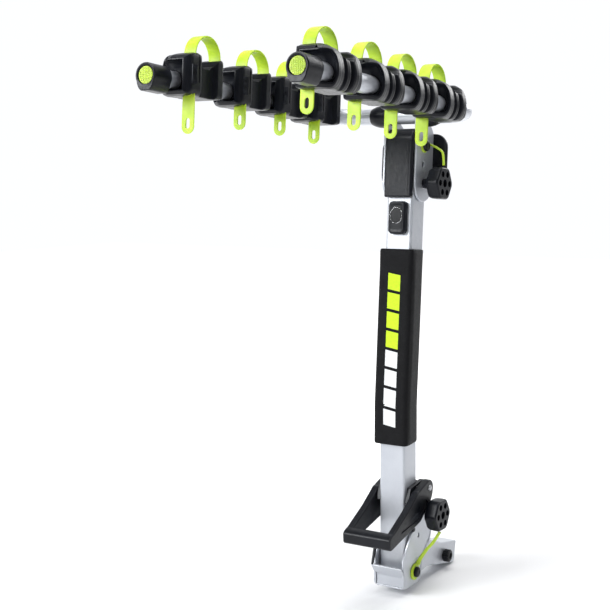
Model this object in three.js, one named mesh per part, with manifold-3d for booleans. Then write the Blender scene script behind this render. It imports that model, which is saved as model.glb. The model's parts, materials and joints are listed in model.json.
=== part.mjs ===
// Hitch mounted bike rack: a mast that tilts on a hitch shank and carries a folding pair of arms with cradles.
// Millimetres. +Z is up, +Y points at the car, +X is the side with the knobs.
// The origin is the middle of the open end of the hitch shank.

import * as THREE from 'three';
import { mergeVertices } from 'three/addons/utils/BufferGeometryUtils.js';
import Module from 'manifold-3d';

const wasm = await Module();
wasm.setup();

// ---------- driving dimensions ----------

const clearance = 0.3;            // gap between pieces that touch or are fixed together

const mastWidth = 60;             // across, along X
const mastDepth = 58;             // along Y
const mastWall = 3;
const mastCorner = 5;
const bendHeight = 367;           // lower pivot to the bend
const leanAngle = 4.7;            // degrees that the upper mast leans towards the car
const upperLength = 555;          // bend to the arm pivot
const mastTop = 14;               // mast above the arm pivot

const armTube = 34;               // outer diameter
const armTubeWall = 2.5;
const armSpacing = 312;           // centre to centre
const armLength = 670;            // cross tube centre to the tip of a cap
const armBend = 62;               // bend radius of the centre line
const crossRise = 62;             // arm pivot to the cross tube
const crossForward = 16;

const cradlePlaces = [84, 240, 376, 503];   // tip to the buckled leg of each strap
const tailDrops = { right: [67, 78, 79, 81], left: [94, 71, 68, 72] };   // strap ends below the arm axis
const strapWidth = 26;
const strapThickness = 3.4;
const strapSpan = 72;             // leg to leg
const strapBase = 46;             // height where the arch starts
const strapPeak = 84;
const slotLength = 19;
const slotWidth = 9.5;

const plateThickness = 5;
const sideGap = 1.7;              // mast side to plate
const pivotBoltRadius = 8;
const lowerPivotOffset = 5;       // lower pivot behind the mast axis
const tiltLimit = 35;             // degrees at which the mast rests on the yoke's front wall
const frontWall = 5;

const shankSize = 50.8;           // two inch receiver
const shankWall = 5;
const shankLength = 78;
const shankDroop = 12;            // degrees that the shank falls towards the car
const neckStart = 34;             // Y of the neck's front end
const neckEnd = 158;              // Y where the square shank starts
const neckHeight = 66;
const neckCentre = 19;            // height of the neck's middle above the lower pivot

const leverOffset = 3.9;          // lever arm clear of the yoke plate
const leverArmThickness = 16;
const leverBarY = -128;
const leverBarZ = 103;
const leverPivot = { y: 40, z: 181 };
const leverPinRadius = 4;
const latchPin = { y: 1, z: 95, radius: 5 };
const latchLift = 12;

const knobRadius = 36;
const knobThickness = 30;
const knobStudRadius = 6;
const lowerKnobHeight = 125;
const lowerKnobGap = 3;           // mast's rear face to the lock pin
const lowerKnobStand = 3.4;       // lever to the knob's back
const upperKnobPlace = { y: 7, z: -79 };          // from the arm pivot
const upperKnobStand = 20.3;      // plate to the knob's back
const pivotCapRadius = 11.5;
const pivotCapThickness = 7;
const eyeThickness = 4;
const lowerEyeRadius = 18;
const upperEyeRadius = 14.5;
const tetherWidth = 5;

const headPlateRadius = 39;
const leftCoverDepth = 12;
const leftPlateFront = 42;        // the left plate reaches as far forward as the cover
const headCoverFront = 43;        // in front of the mast axis
const headCoverTop = 35;          // above the arm pivot
const headCoverBottom = -111;
const collarLength = 42;
const collarRadius = 24;

const sleeveBottom = 285;         // above the lower pivot
const sleeveDrop = 210;           // arm pivot to the sleeve's top
const sleeveThickness = 11;
const badgeWidth = 40;
const badgeHeight = 70;
const badgeThickness = 13;
const badgeDrop = 154;            // arm pivot to the badge's middle

const capLength = 48;
const capRadius = 22;
const capChin = 27;
const insertRadius = 15.5;
const insertThickness = 3;
const insertRecess = 1.5;

const boltRadius = 6;
const boltKnobRadius = 14.5;
const boltKnobLength = 16;
const boltPlace = 20;             // from the start of the square shank
const boltDrop = 5;               // below the middle of the shank

const yokeInner = mastWidth / 2 + sideGap;
const yokeOuter = yokeInner + plateThickness;
const leverInner = yokeOuter + leverOffset;
const leverOuter = leverInner + leverArmThickness;
const sleeveTop = upperLength - sleeveDrop;
const badgeMiddle = upperLength - badgeDrop;
const lowerKnob = {
  x: leverOuter + lowerKnobStand, y: mastDepth / 2 + lowerKnobGap + knobStudRadius, z: lowerKnobHeight,
};
const upperKnob = { x: yokeOuter + upperKnobStand, ...upperKnobPlace };

// ---------- finishes ----------

function finish(color, roughness, metalness) {
  return () => new THREE.MeshStandardMaterial({ color, roughness, metalness });
}

const silver = finish(0xc3c7cf, 0.38, 0.85);
const satin = finish(0xb4bac4, 0.45, 0.8);
const steel = finish(0x8d9096, 0.35, 0.95);
const black = finish(0x24272c, 0.55, 0.0);
const softBlack = finish(0x1a1b1e, 0.85, 0.0);
const lime = finish(0xc9f03a, 0.5, 0.0);
const chrome = finish(0xe6e8ea, 0.12, 1.0);

// ---------- geometry helpers ----------

const radians = THREE.MathUtils.degToRad;

// A closed three.js geometry as a solid that can be joined and cut.
function toSolid(geometry) {
  const bare = geometry.clone();
  bare.deleteAttribute('normal');
  bare.deleteAttribute('uv');
  const merged = mergeVertices(bare, 1e-4);
  const index = merged.index.array;
  const kept = [];
  for (let i = 0; i < index.length; i += 3) {
    const [a, b, c] = [index[i], index[i + 1], index[i + 2]];
    if (a !== b && b !== c && c !== a) kept.push(a, b, c);
  }
  return new wasm.Manifold(new wasm.Mesh({
    numProp: 3,
    vertProperties: new Float32Array(merged.attributes.position.array),
    triVerts: new Uint32Array(kept),
  }));
}

function toGeometry(solid) {
  const mesh = solid.getMesh();
  const geometry = new THREE.BufferGeometry();
  geometry.setAttribute('position', new THREE.BufferAttribute(new Float32Array(mesh.vertProperties), 3));
  geometry.setIndex([...mesh.triVerts]);
  return geometry;
}

// The first geometry, with the second list joined on and the third list cut away.
function carve(base, added, cuts) {
  let solid = toSolid(base);
  for (const geometry of added) solid = solid.add(toSolid(geometry));
  for (const geometry of cuts) solid = solid.subtract(toSolid(geometry));
  return toGeometry(solid);
}

function common(first, second) {
  return toGeometry(toSolid(first).intersect(toSolid(second)));
}

function outline(points) {
  return new THREE.Shape(points.map(([a, b]) => new THREE.Vector2(a, b)));
}

const alongX = new THREE.Matrix4().makeBasis(
  new THREE.Vector3(0, 1, 0), new THREE.Vector3(0, 0, 1), new THREE.Vector3(1, 0, 0));
const alongY = new THREE.Matrix4().makeBasis(
  new THREE.Vector3(0, 0, 1), new THREE.Vector3(1, 0, 0), new THREE.Vector3(0, 1, 0));

// A shape drawn in (Y, Z), as a slab from x0 to x1.
function slabX(shape, x0, x1, curveSegments = 5) {
  const geometry = new THREE.ExtrudeGeometry(shape, { depth: x1 - x0, bevelEnabled: false, curveSegments });
  return geometry.applyMatrix4(alongX).translate(x0, 0, 0);
}

// A shape drawn in (Z, X), as a slab from y0 to y1.
function slabY(shape, y0, y1, curveSegments = 5) {
  const geometry = new THREE.ExtrudeGeometry(shape, { depth: y1 - y0, bevelEnabled: false, curveSegments });
  return geometry.applyMatrix4(alongY).translate(0, y0, 0);
}

function box(x0, x1, y0, y1, z0, z1) {
  const geometry = new THREE.BoxGeometry(x1 - x0, y1 - y0, z1 - z0);
  return geometry.translate((x0 + x1) / 2, (y0 + y1) / 2, (z0 + z1) / 2);
}

function rodX(radius, x0, x1, y, z, sides = 16) {
  const geometry = new THREE.CylinderGeometry(radius, radius, x1 - x0, sides);
  return geometry.rotateZ(-Math.PI / 2).translate((x0 + x1) / 2, y, z);
}

function rodY(radius, y0, y1, x, z, sides = 16) {
  const geometry = new THREE.CylinderGeometry(radius, radius, y1 - y0, sides);
  return geometry.translate(x, (y0 + y1) / 2, z);
}

// A turned piece: [distance along the axis, radius] pairs, turned about X and moved to (y, z).
function turnedX(profile, y, z, sides = 16) {
  const points = profile.map(([along, radius]) => new THREE.Vector2(radius, along));
  const geometry = new THREE.LatheGeometry(points, sides);
  return geometry.rotateZ(-Math.PI / 2).translate(0, y, z);
}

// Rings of equal length joined into one closed skin, with flat ends.
function loft(rings) {
  const count = rings[0].length;
  const positions = rings.flat().flatMap((point) => [point.x, point.y, point.z]);
  const index = [];
  for (let ring = 0; ring < rings.length - 1; ring++) {
    for (let i = 0; i < count; i++) {
      const a = ring * count + i;
      const b = ring * count + ((i + 1) % count);
      index.push(a, b, b + count, a, b + count, a + count);
    }
  }
  const last = (rings.length - 1) * count;
  for (let i = 1; i < count - 1; i++) {
    index.push(0, i + 1, i);
    index.push(last, last + i, last + i + 1);
  }
  const geometry = new THREE.BufferGeometry();
  geometry.setAttribute('position', new THREE.Float32BufferAttribute(positions, 3));
  geometry.setIndex(index);
  return geometry;
}

// Corner points of a rectangle with round corners, anticlockwise, with its own radius front and rear.
function roundedSection(halfWidth, front, rear, frontRadius, rearRadius, steps = 2) {
  const corners = [
    [halfWidth - frontRadius, front + frontRadius, frontRadius, -90],
    [halfWidth - rearRadius, rear - rearRadius, rearRadius, 0],
    [rearRadius - halfWidth, rear - rearRadius, rearRadius, 90],
    [frontRadius - halfWidth, front + frontRadius, frontRadius, 180],
  ];
  const points = [];
  for (const [x, y, radius, start] of corners) {
    for (let i = 0; i <= steps; i++) {
      const angle = radians(start + (90 * i) / steps);
      points.push([x + radius * Math.cos(angle), y + radius * Math.sin(angle)]);
    }
  }
  return points;
}

// Sets a mast section at a height: vertical below the bend, mitred at it, leaning above it.
function mastRing(section, height) {
  const lean = radians(leanAngle);
  const above = height - bendHeight;
  return section.map(([x, y]) => {
    if (above < 0) return new THREE.Vector3(x, y, height);
    if (above === 0) return new THREE.Vector3(x, y, bendHeight - y * Math.tan(lean / 2));
    return new THREE.Vector3(x, y * Math.cos(lean) + above * Math.sin(lean),
      bendHeight + above * Math.cos(lean) - y * Math.sin(lean));
  });
}

// ---------- scene ----------

const rack = new THREE.Group();
const upper = new THREE.Group();          // frame of the leaning part of the mast
upper.position.z = bendHeight;
upper.rotation.x = -radians(leanAngle);
rack.add(upper);
const head = new THREE.Group();           // the same, with its origin on the arm pivot
head.position.z = upperLength;
upper.add(head);

function place(group, name, geometry, material) {
  const mesh = new THREE.Mesh(geometry, material());
  mesh.name = name;
  group.add(mesh);
  return mesh;
}

// ---------- yoke, shank and hitch bolt ----------

const pivotY = lowerPivotOffset;
const tilt = radians(tiltLimit);
const faceOffset = pivotY + mastDepth / 2;      // lower pivot to the mast's front face

const yokeFront = -mastDepth / 2 - 14.5;
const yokeBottom = -29;
const yokeRear = 86;

function yokePlateShape() {
  const shape = new THREE.Shape();
  shape.moveTo(yokeFront + 13, yokeBottom);
  shape.lineTo(pivotY + 10, yokeBottom);
  shape.quadraticCurveTo(pivotY + 32, yokeBottom + 2, pivotY + 34, -8);
  shape.quadraticCurveTo(pivotY + 38, 30, yokeRear - 12, 52);
  shape.quadraticCurveTo(yokeRear, 60, yokeRear, 84);
  shape.quadraticCurveTo(yokeRear, 118, lowerKnob.y + 26, 140);
  shape.quadraticCurveTo(lowerKnob.y + 6, 157, lowerKnob.y - 16, 148);
  shape.quadraticCurveTo(latchPin.y + latchPin.radius + 3, 140, latchPin.y + latchPin.radius + 2, 116);
  shape.lineTo(latchPin.y + latchPin.radius + clearance, latchPin.z);
  shape.absarc(latchPin.y, latchPin.z, latchPin.radius + clearance, 0, -Math.PI / 2, true);
  shape.lineTo(latchPin.y - 8, latchPin.z - 9);
  shape.lineTo(yokeFront, 36);
  shape.lineTo(yokeFront, yokeBottom + 14);
  shape.quadraticCurveTo(yokeFront, yokeBottom, yokeFront + 13, yokeBottom);
  return shape;
}

function yokePlate(side) {
  const x = [side * yokeInner, side * yokeOuter].sort((a, b) => a - b);
  const plate = slabX(yokePlateShape(), x[0], x[1]);
  return carve(plate, [], [
    rodX(pivotBoltRadius + clearance, x[0] - 1, x[1] + 1, pivotY, 0),
    rodX(knobStudRadius + clearance, x[0] - 1, x[1] + 1, lowerKnob.y, lowerKnob.z),
    rodX(3.2, x[0] - 1, x[1] + 1, 26, 76, 12),
  ]);
}

// A point in front of the lower pivot and along the face of the fully tilted mast.
function onTiltedFace(distance, along) {
  return [
    pivotY - Math.cos(tilt) * distance - Math.sin(tilt) * along,
    Math.cos(tilt) * along - Math.sin(tilt) * distance,
  ];
}
const wallInside = faceOffset + clearance;
const wallOutside = faceOffset + frontWall;
const wallCrest = 52;             // top of the slope, along the tilted face

// The mast rests on the inner slope of this wall when it is fully tilted.
function yokeFrontWall() {
  const foot = onTiltedFace(wallInside, 21);
  const crest = onTiltedFace(wallInside, wallCrest);
  const outerCrest = onTiltedFace(wallOutside, wallCrest);
  const outerFoot = onTiltedFace(wallOutside, 23);
  const profile = [[foot[0], yokeBottom + 4], foot, crest, outerCrest, outerFoot, [outerFoot[0], yokeBottom + 4]];
  const between = slabX(outline(profile.reverse()), clearance - yokeInner, yokeInner - clearance);
  const lip = common(
    slabX(outline(profile), -yokeOuter, yokeOuter),
    box(-yokeOuter, yokeOuter, -200, yokeFront - clearance, -200, 200));
  return carve(between, [lip], []);
}

function yokeFloor() {
  const front = onTiltedFace(wallOutside, 23)[0];
  return box(clearance - yokeInner, yokeInner - clearance, front, neckStart - clearance,
    yokeBottom, yokeBottom + 4 - clearance);
}

const droop = radians(shankDroop);
const shankStart = new THREE.Vector3(0, neckEnd, -4);
const shankAxis = new THREE.Vector3(0, Math.cos(droop), -Math.sin(droop));
const shankUp = new THREE.Vector3(0, Math.sin(droop), Math.cos(droop));
const shankEnd = shankStart.clone().addScaledVector(shankAxis, shankLength);
const hitchBoltCentre = shankStart.clone().addScaledVector(shankAxis, boltPlace).addScaledVector(shankUp, -boltDrop);

// A rectangle with cut corners, square to a direction in the YZ plane.
function shankRing(centre, halfWidth, halfHeight, up, cut = 5) {
  const corners = [
    [halfWidth, cut - halfHeight], [halfWidth, halfHeight - cut], [halfWidth - cut, halfHeight],
    [cut - halfWidth, halfHeight], [-halfWidth, halfHeight - cut], [-halfWidth, cut - halfHeight],
    [cut - halfWidth, -halfHeight], [halfWidth - cut, -halfHeight],
  ];
  return corners.map(([x, z]) => new THREE.Vector3(x, 0, 0).add(centre).addScaledVector(up, z)).reverse();
}

function hitchShank() {
  const vertical = new THREE.Vector3(0, 0, 1);
  const half = shankSize / 2;
  const neckWidth = yokeInner - clearance;
  const neck = [
    shankRing(new THREE.Vector3(0, neckStart, neckCentre - 6), neckWidth, neckHeight / 2 - 6, vertical),
    shankRing(new THREE.Vector3(0, neckStart + 34, neckCentre), neckWidth, neckHeight / 2, vertical),
    shankRing(new THREE.Vector3(0, neckStart + 62, neckCentre - 3), neckWidth - 2, neckHeight / 2 - 3, vertical),
    shankRing(shankStart, half, half, shankUp, 3),
    shankRing(shankEnd, half, half, shankUp, 3),
  ];
  const inner = half - shankWall;
  const bore = box(-inner, inner, -shankLength + 6, 1, -inner, inner);
  bore.rotateX(-droop).translate(shankEnd.x, shankEnd.y, shankEnd.z);
  return carve(loft(neck), [], [bore,
    rodX(boltRadius + clearance, -60, 60, hitchBoltCentre.y, hitchBoltCentre.z)]);
}

place(rack, 'hitch_shank', hitchShank(), silver);
place(rack, 'yoke_plate_left', yokePlate(-1), silver);
place(rack, 'yoke_plate_right', yokePlate(1), silver);
place(rack, 'yoke_front_wall', yokeFrontWall(), silver);
place(rack, 'yoke_floor', yokeFloor(), satin);

place(rack, 'hitch_bolt', turnedX([
  [-shankSize / 2 - 8, 0], [-shankSize / 2 - 8, 11], [-shankSize / 2 - clearance, 11],
  [-shankSize / 2 - clearance, boltRadius], [shankSize / 2 + 12, boltRadius], [shankSize / 2 + 12, 0],
], hitchBoltCentre.y, hitchBoltCentre.z), steel);

// A ribbed cap screwed on the end of the hitch bolt.
function boltKnob() {
  const ribs = 12;
  const points = [];
  for (let i = 0; i < ribs * 4; i++) {
    const radius = boltKnobRadius - (i % 4 < 2 ? 0 : 1.6);
    const angle = (2 * Math.PI * i) / (ribs * 4);
    points.push([hitchBoltCentre.y + radius * Math.cos(angle), hitchBoltCentre.z + radius * Math.sin(angle)]);
  }
  const start = shankSize / 2 + clearance;
  return carve(slabX(outline(points), start, start + boltKnobLength), [],
    [rodX(boltRadius + clearance, start - 1, shankSize / 2 + 12 + clearance, hitchBoltCentre.y, hitchBoltCentre.z)]);
}
place(rack, 'hitch_bolt_knob', boltKnob(), black);

// ---------- lower pivot, knob and tether ----------

// A bolt through both plates, with a flat head on the left.
function pivotBolt(radius, plateOuter, y, z) {
  const end = plateOuter + clearance + eyeThickness + 2;
  return turnedX([
    [-plateOuter - 7, 0], [-plateOuter - 7, radius + 4], [-plateOuter - clearance, radius + 4],
    [-plateOuter - clearance, radius], [end, radius], [end, 0],
  ], y, z);
}

// A round cap pressed over the right end of a pivot bolt.
function pivotCap(boltRadiusHere, plateOuter, y, z) {
  const start = plateOuter + eyeThickness + 3 * clearance;
  const boltEnd = plateOuter + clearance + eyeThickness + 2;
  return turnedX([
    [start, boltRadiusHere + clearance], [start, pivotCapRadius], [start + pivotCapThickness - 2, pivotCapRadius],
    [start + pivotCapThickness, pivotCapRadius - 2], [start + pivotCapThickness, 0],
    [boltEnd + clearance, 0], [boltEnd + clearance, boltRadiusHere + clearance],
    [start, boltRadiusHere + clearance],
  ], y, z);
}

// A moulded tether: a flat ring round the bolt and a cord along its route, one piece.
function tether(eyeRadius, holeRadius, plateOuter, y, z, route, width) {
  const eye = turnedX([
    [plateOuter + clearance, holeRadius], [plateOuter + clearance, eyeRadius],
    [plateOuter + clearance + eyeThickness, eyeRadius], [plateOuter + clearance + eyeThickness, holeRadius],
    [plateOuter + clearance, holeRadius],
  ], y, z, 20);
  const path = new THREE.CatmullRomCurve3(route.map(([px, py, pz]) => new THREE.Vector3(px, py, pz)));
  const half = width / 2;
  const section = new THREE.Shape();
  section.absellipse(0, 0, half, half * 0.8, 0, 2 * Math.PI);
  const cord = new THREE.ExtrudeGeometry(section,
    { steps: 12, curveSegments: 2, bevelEnabled: false, extrudePath: path });
  return carve(eye, [cord], []);
}

// A knob with rounded lobes, a neck towards the plate and a blind bore for its stud.
function lobedKnob(x, y, z, neckFrom, phase) {
  const lobes = 6;
  const points = [];
  const corners = lobes * 4;
  for (let i = 0; i < corners; i++) {
    const angle = phase + (2 * Math.PI * i) / corners;
    const radius = knobRadius - 1.8 + 1.8 * Math.cos(lobes * (angle - phase));
    points.push([radius * Math.cos(angle), radius * Math.sin(angle)]);
  }
  const bevel = 3;
  const inner = points.map(([a, b]) => [a * (1 - bevel / knobRadius), b * (1 - bevel / knobRadius)]);
  const ring = (list, at) => list.map(([a, b]) => new THREE.Vector3(at, y + a, z + b));
  const body = loft([
    ring(inner, x), ring(points, x + bevel),
    ring(points, x + knobThickness - bevel), ring(inner, x + knobThickness)]);
  const neck = turnedX([[neckFrom, 0], [neckFrom, 10], [x + 6, 15], [x + 6, 0]], y, z);
  const bore = rodX(knobStudRadius + clearance, neckFrom - 1, x + 12 + clearance, y, z);
  return carve(body, [neck], [bore]);
}

place(rack, 'lower_pivot_bolt', pivotBolt(pivotBoltRadius, yokeOuter, pivotY, 0), steel);
place(rack, 'lower_pivot_cap', pivotCap(pivotBoltRadius, yokeOuter, pivotY, 0), black);

const lowerNeckFrom = leverOuter + 1;
place(rack, 'lower_lock_pin', turnedX([
  [-yokeOuter - 6, 0], [-yokeOuter - 6, knobStudRadius], [lowerKnob.x + 12, knobStudRadius], [lowerKnob.x + 12, 0],
], lowerKnob.y, lowerKnob.z), steel);
place(rack, 'lower_knob', lobedKnob(lowerKnob.x, lowerKnob.y, lowerKnob.z, lowerNeckFrom, -Math.PI / 2), black);

const lowerTetherRoute = [
  [yokeOuter + 3.6, pivotY + 9.5, 13.5],
  [yokeOuter + 6, pivotY + 16, 24],
  [yokeOuter + 17, pivotY + 25, 44],
  [yokeOuter + 31, pivotY + 29, 62],
  [lowerKnob.x + knobThickness - 8, lowerKnob.y, lowerKnob.z - knobRadius - 2.6],
];
place(rack, 'lower_tether', tether(lowerEyeRadius, pivotBoltRadius + clearance, yokeOuter, pivotY, 0,
  lowerTetherRoute, tetherWidth + 1), lime);

// ---------- mast, latch and lever ----------

function mastTube() {
  const outer = roundedSection(mastWidth / 2, -mastDepth / 2, mastDepth / 2, mastCorner, mastCorner);
  const radius = mastCorner - mastWall + 0.5;
  const inner = roundedSection(mastWidth / 2 - mastWall, mastWall - mastDepth / 2, mastDepth / 2 - mastWall,
    radius, radius);
  const top = bendHeight + upperLength + mastTop;
  const tube = loft([mastRing(outer, -24), mastRing(outer, bendHeight), mastRing(outer, top)]);
  const hollow = loft([mastRing(inner, -26), mastRing(inner, bendHeight), mastRing(inner, top + 2)]);
  // Below the lower pivot only a round heel is left, so the mast can turn above the yoke's floor.
  const foot = carve(box(-60, 60, -60, 60, -60, 0), [], [rodX(mastDepth / 2 - pivotY - 0.2, -61, 61, pivotY, 0, 24)]);
  const holes = [rodX(pivotBoltRadius + clearance, -60, 60, pivotY, 0)];
  const slotHalf = latchPin.radius + clearance;
  const slot = new THREE.Shape();
  slot.absarc(latchPin.y, latchPin.z, slotHalf, Math.PI, 2 * Math.PI);
  slot.absarc(latchPin.y, latchPin.z + latchLift + 1, slotHalf, 0, Math.PI);
  holes.push(slabX(slot, -60, 60, 4));
  const lean = radians(leanAngle);
  const above = upperLength;
  holes.push(rodX(pivotBoltRadius - 1 + clearance, -60, 60, above * Math.sin(lean),
    bendHeight + above * Math.cos(lean)));
  return carve(tube, [], [hollow, foot, ...holes]);
}
place(rack, 'mast', mastTube(), silver);

place(rack, 'latch_pin', rodX(latchPin.radius, -yokeOuter - 3, yokeOuter + 3, latchPin.y, latchPin.z), black);

// Two ears and a rear web round the mast, which carry the lever's pivot.
function leverBracket() {
  const inner = mastWidth / 2 + clearance;
  const outer = leverInner - 1.2;
  const web = mastDepth / 2 + clearance;
  const shape = new THREE.Shape();
  shape.moveTo(-mastDepth / 2 + 2, leverPivot.z - 22);
  shape.lineTo(leverPivot.y, leverPivot.z - 17);
  shape.absarc(leverPivot.y, leverPivot.z, 17, -Math.PI / 2, Math.PI / 2);
  shape.lineTo(-mastDepth / 2 + 14, leverPivot.z + 9);
  shape.closePath();
  const whole = slabX(shape, -outer, outer);
  const inside = box(-inner, inner, -60, web, 0, 300);
  const behind = box(-inner, inner, web + 4, 100, 0, 300);
  return carve(whole, [], [inside, behind,
    rodX(leverPinRadius + clearance, -60, 60, leverPivot.y, leverPivot.z, 16)]);
}
place(rack, 'lever_bracket', leverBracket(), black);
place(rack, 'lever_pivot_pin', turnedX([
  [-leverOuter - 3, 0], [-leverOuter - 3, 6.5], [-leverOuter - clearance, 6.5],
  [-leverOuter - clearance, leverPinRadius], [leverOuter + clearance, leverPinRadius],
  [leverOuter + clearance, 6.5], [leverOuter + 3, 6.5], [leverOuter + 3, 0],
], leverPivot.y, leverPivot.z, 16), steel);

// The U-shaped lever: two flat arms and a bar in front of the mast.
function leverHandle() {
  const arm = new THREE.Shape();
  arm.moveTo(leverBarY - 13, leverBarZ - 10);
  arm.quadraticCurveTo(leverBarY - 11, leverBarZ - 17, leverBarY - 3, leverBarZ - 16);
  arm.lineTo(leverPivot.y - 44, leverPivot.z - 66);
  arm.lineTo(leverPivot.y + 6, leverPivot.z - 30);
  arm.quadraticCurveTo(leverPivot.y + 18, leverPivot.z - 18, leverPivot.y + 18, leverPivot.z);
  arm.absarc(leverPivot.y, leverPivot.z, 18, 0, Math.PI * 0.62);
  arm.lineTo(leverPivot.y - 54, leverPivot.z + 1);
  arm.lineTo(leverBarY + 6, leverBarZ + 17);
  arm.quadraticCurveTo(leverBarY - 12, leverBarZ + 13, leverBarY - 14, leverBarZ + 5);
  arm.closePath();
  const bar = new THREE.Shape();
  bar.moveTo(leverBarY - 13, leverBarZ - 10);
  bar.quadraticCurveTo(leverBarY - 11, leverBarZ - 17, leverBarY - 3, leverBarZ - 16);
  bar.lineTo(leverBarY + 12, leverBarZ - 12);
  bar.lineTo(leverBarY + 10, leverBarZ + 15);
  bar.lineTo(leverBarY + 4, leverBarZ + 16);
  bar.quadraticCurveTo(leverBarY - 12, leverBarZ + 13, leverBarY - 14, leverBarZ + 5);
  bar.closePath();
  const right = slabX(arm, leverInner, leverOuter, 5);
  const left = slabX(arm, -leverOuter, -leverInner, 5);
  const front = slabX(bar, -leverOuter + 1, leverOuter - 1, 5);
  return carve(front, [left, right],
    [rodX(leverPinRadius + clearance, -80, 80, leverPivot.y, leverPivot.z, 16)]);
}
place(rack, 'lever_handle', leverHandle(), black);

// A short strut that stands on the left end of the front wall.
function wallStrut() {
  const foot = wallCrest + clearance;
  const points = [
    onTiltedFace(wallOutside, foot), onTiltedFace(wallInside, foot),
    [yokeFront + 8, 60], [yokeFront, 64]];
  return slabX(outline(points), -yokeOuter, -mastWidth / 2 - 1);
}
place(rack, 'wall_strut', wallStrut(), black);

// A padded sleeve round the mast: thick in front, thin behind.
function paddedSleeve() {
  const inner = roundedSection(mastWidth / 2 + clearance, -mastDepth / 2 - clearance, mastDepth / 2 + clearance,
    mastCorner, mastCorner);
  const halfFront = mastWidth / 2 + sleeveThickness;
  const halfRear = mastWidth / 2 + 2.5;
  const full = roundedSection(halfFront, -mastDepth / 2 - sleeveThickness, mastDepth / 2 + 2, 8, 5, 4);
  const depth = mastDepth + sleeveThickness + 2;
  const outer = full.map(([x, y]) => {
    const back = Math.max(0, (y + mastDepth / 2 - 6) / (depth - sleeveThickness));
    return [x * (1 - back * (1 - halfRear / halfFront)), y];
  });
  const top = bendHeight + sleeveTop;
  const pad = loft([mastRing(outer, sleeveBottom), mastRing(outer, bendHeight), mastRing(outer, top)]);
  const hole = loft([mastRing(inner, sleeveBottom - 4), mastRing(inner, bendHeight), mastRing(inner, top + 4)]);
  return carve(pad, [], [hole]);
}
place(rack, 'foam_sleeve', paddedSleeve(), softBlack);

// ---------- badge block on the mast ----------

function badgeBlock() {
  const half = badgeWidth / 2;
  const section = roundedSection(half, badgeMiddle - badgeHeight / 2, badgeMiddle + badgeHeight / 2, 9, 9, 4);
  const back = -mastDepth / 2 - clearance;
  const ring = (grow, y) => section.map(([x, z]) =>
    new THREE.Vector3(x * grow, y, badgeMiddle + (z - badgeMiddle) * grow)).reverse();
  return loft([ring(0.9, back - badgeThickness), ring(1, back - badgeThickness + 4), ring(1, back)]);
}
place(upper, 'badge_block', badgeBlock(), black);

function badgeRim() {
  const back = -mastDepth / 2 - clearance - badgeThickness - clearance;
  const rim = new THREE.Shape();
  rim.absellipse(badgeMiddle + 5, 0, 17, 14, 0, 2 * Math.PI);
  const hole = new THREE.Path();
  hole.absellipse(badgeMiddle + 5, 0, 15.6, 12.6, 0, 2 * Math.PI);
  rim.holes.push(hole);
  return slabY(rim, back - 1.6, back, 10);
}
place(upper, 'badge_rim', badgeRim(), chrome);

// ---------- head: cover, plates, pivot, knob ----------

function headCover() {
  const back = mastDepth / 2 + 1;
  const round = 25;
  const shape = new THREE.Shape();
  shape.moveTo(-headCoverFront, headCoverBottom);
  shape.lineTo(-mastDepth / 2 - clearance, headCoverBottom);
  shape.lineTo(-mastDepth / 2 - clearance, mastTop + clearance);
  shape.lineTo(back, mastTop + clearance);
  shape.lineTo(back, mastTop + 5);
  shape.quadraticCurveTo(back, headCoverTop, back - 16, headCoverTop);
  shape.lineTo(round - headCoverFront, headCoverTop);
  shape.absarc(round - headCoverFront, headCoverTop - round, round, Math.PI / 2, Math.PI);
  shape.closePath();
  const half = yokeInner - clearance;
  return slabX(shape, -half, half);
}
place(head, 'head_cover', headCover(), black);

const cross = { y: -crossForward, z: crossRise };
const headBoltRadius = pivotBoltRadius - 1;

function headPlate(side) {
  const x = [side * yokeInner, side * yokeOuter].sort((a, b) => a - b);
  const boss = armTube / 2 + 7;
  const front = side < 0 ? -leftPlateFront : upperKnob.y - headPlateRadius;
  const shape = new THREE.Shape();
  shape.moveTo(front, upperKnob.z);
  shape.absellipse(upperKnob.y, upperKnob.z, upperKnob.y - front, headPlateRadius, Math.PI, 1.5 * Math.PI);
  shape.absarc(upperKnob.y, upperKnob.z, headPlateRadius, 1.5 * Math.PI, 2 * Math.PI);
  shape.lineTo(upperKnob.y + headPlateRadius, 26);
  shape.quadraticCurveTo(upperKnob.y + headPlateRadius - 2, 40, cross.y + boss + 8, cross.z - 8);
  shape.absarc(cross.y, cross.z, boss, 0, Math.PI);
  shape.lineTo(front, 24);
  shape.closePath();
  return carve(slabX(shape, x[0], x[1], 7), [], [
    rodX(armTube / 2 + clearance, x[0] - 1, x[1] + 1, cross.y, cross.z),
    rodX(headBoltRadius + clearance, x[0] - 1, x[1] + 1, 0, 0),
    rodX(knobStudRadius + clearance, x[0] - 1, x[1] + 1, upperKnob.y, upperKnob.z),
    rodX(3.5, x[0] - 1, x[1] + 1, 2, -39, 12),
  ]);
}
place(head, 'head_plate_left', headPlate(-1), silver);
place(head, 'head_plate_right', headPlate(1), silver);

// The moulded cover behind the plates joins them.
function rearCover() {
  const front = upperKnob.y + headPlateRadius + clearance;
  const section = roundedSection(68, -82, 30, 30, 26, 5);
  const ring = (grow, y) => section.map(([x, z]) => new THREE.Vector3(x * grow, y, z * grow)).reverse();
  return loft([ring(1, front), ring(1, front + 7), ring(0.9, front + 14)]);
}
place(head, 'rear_cover', rearCover(), black);

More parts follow.
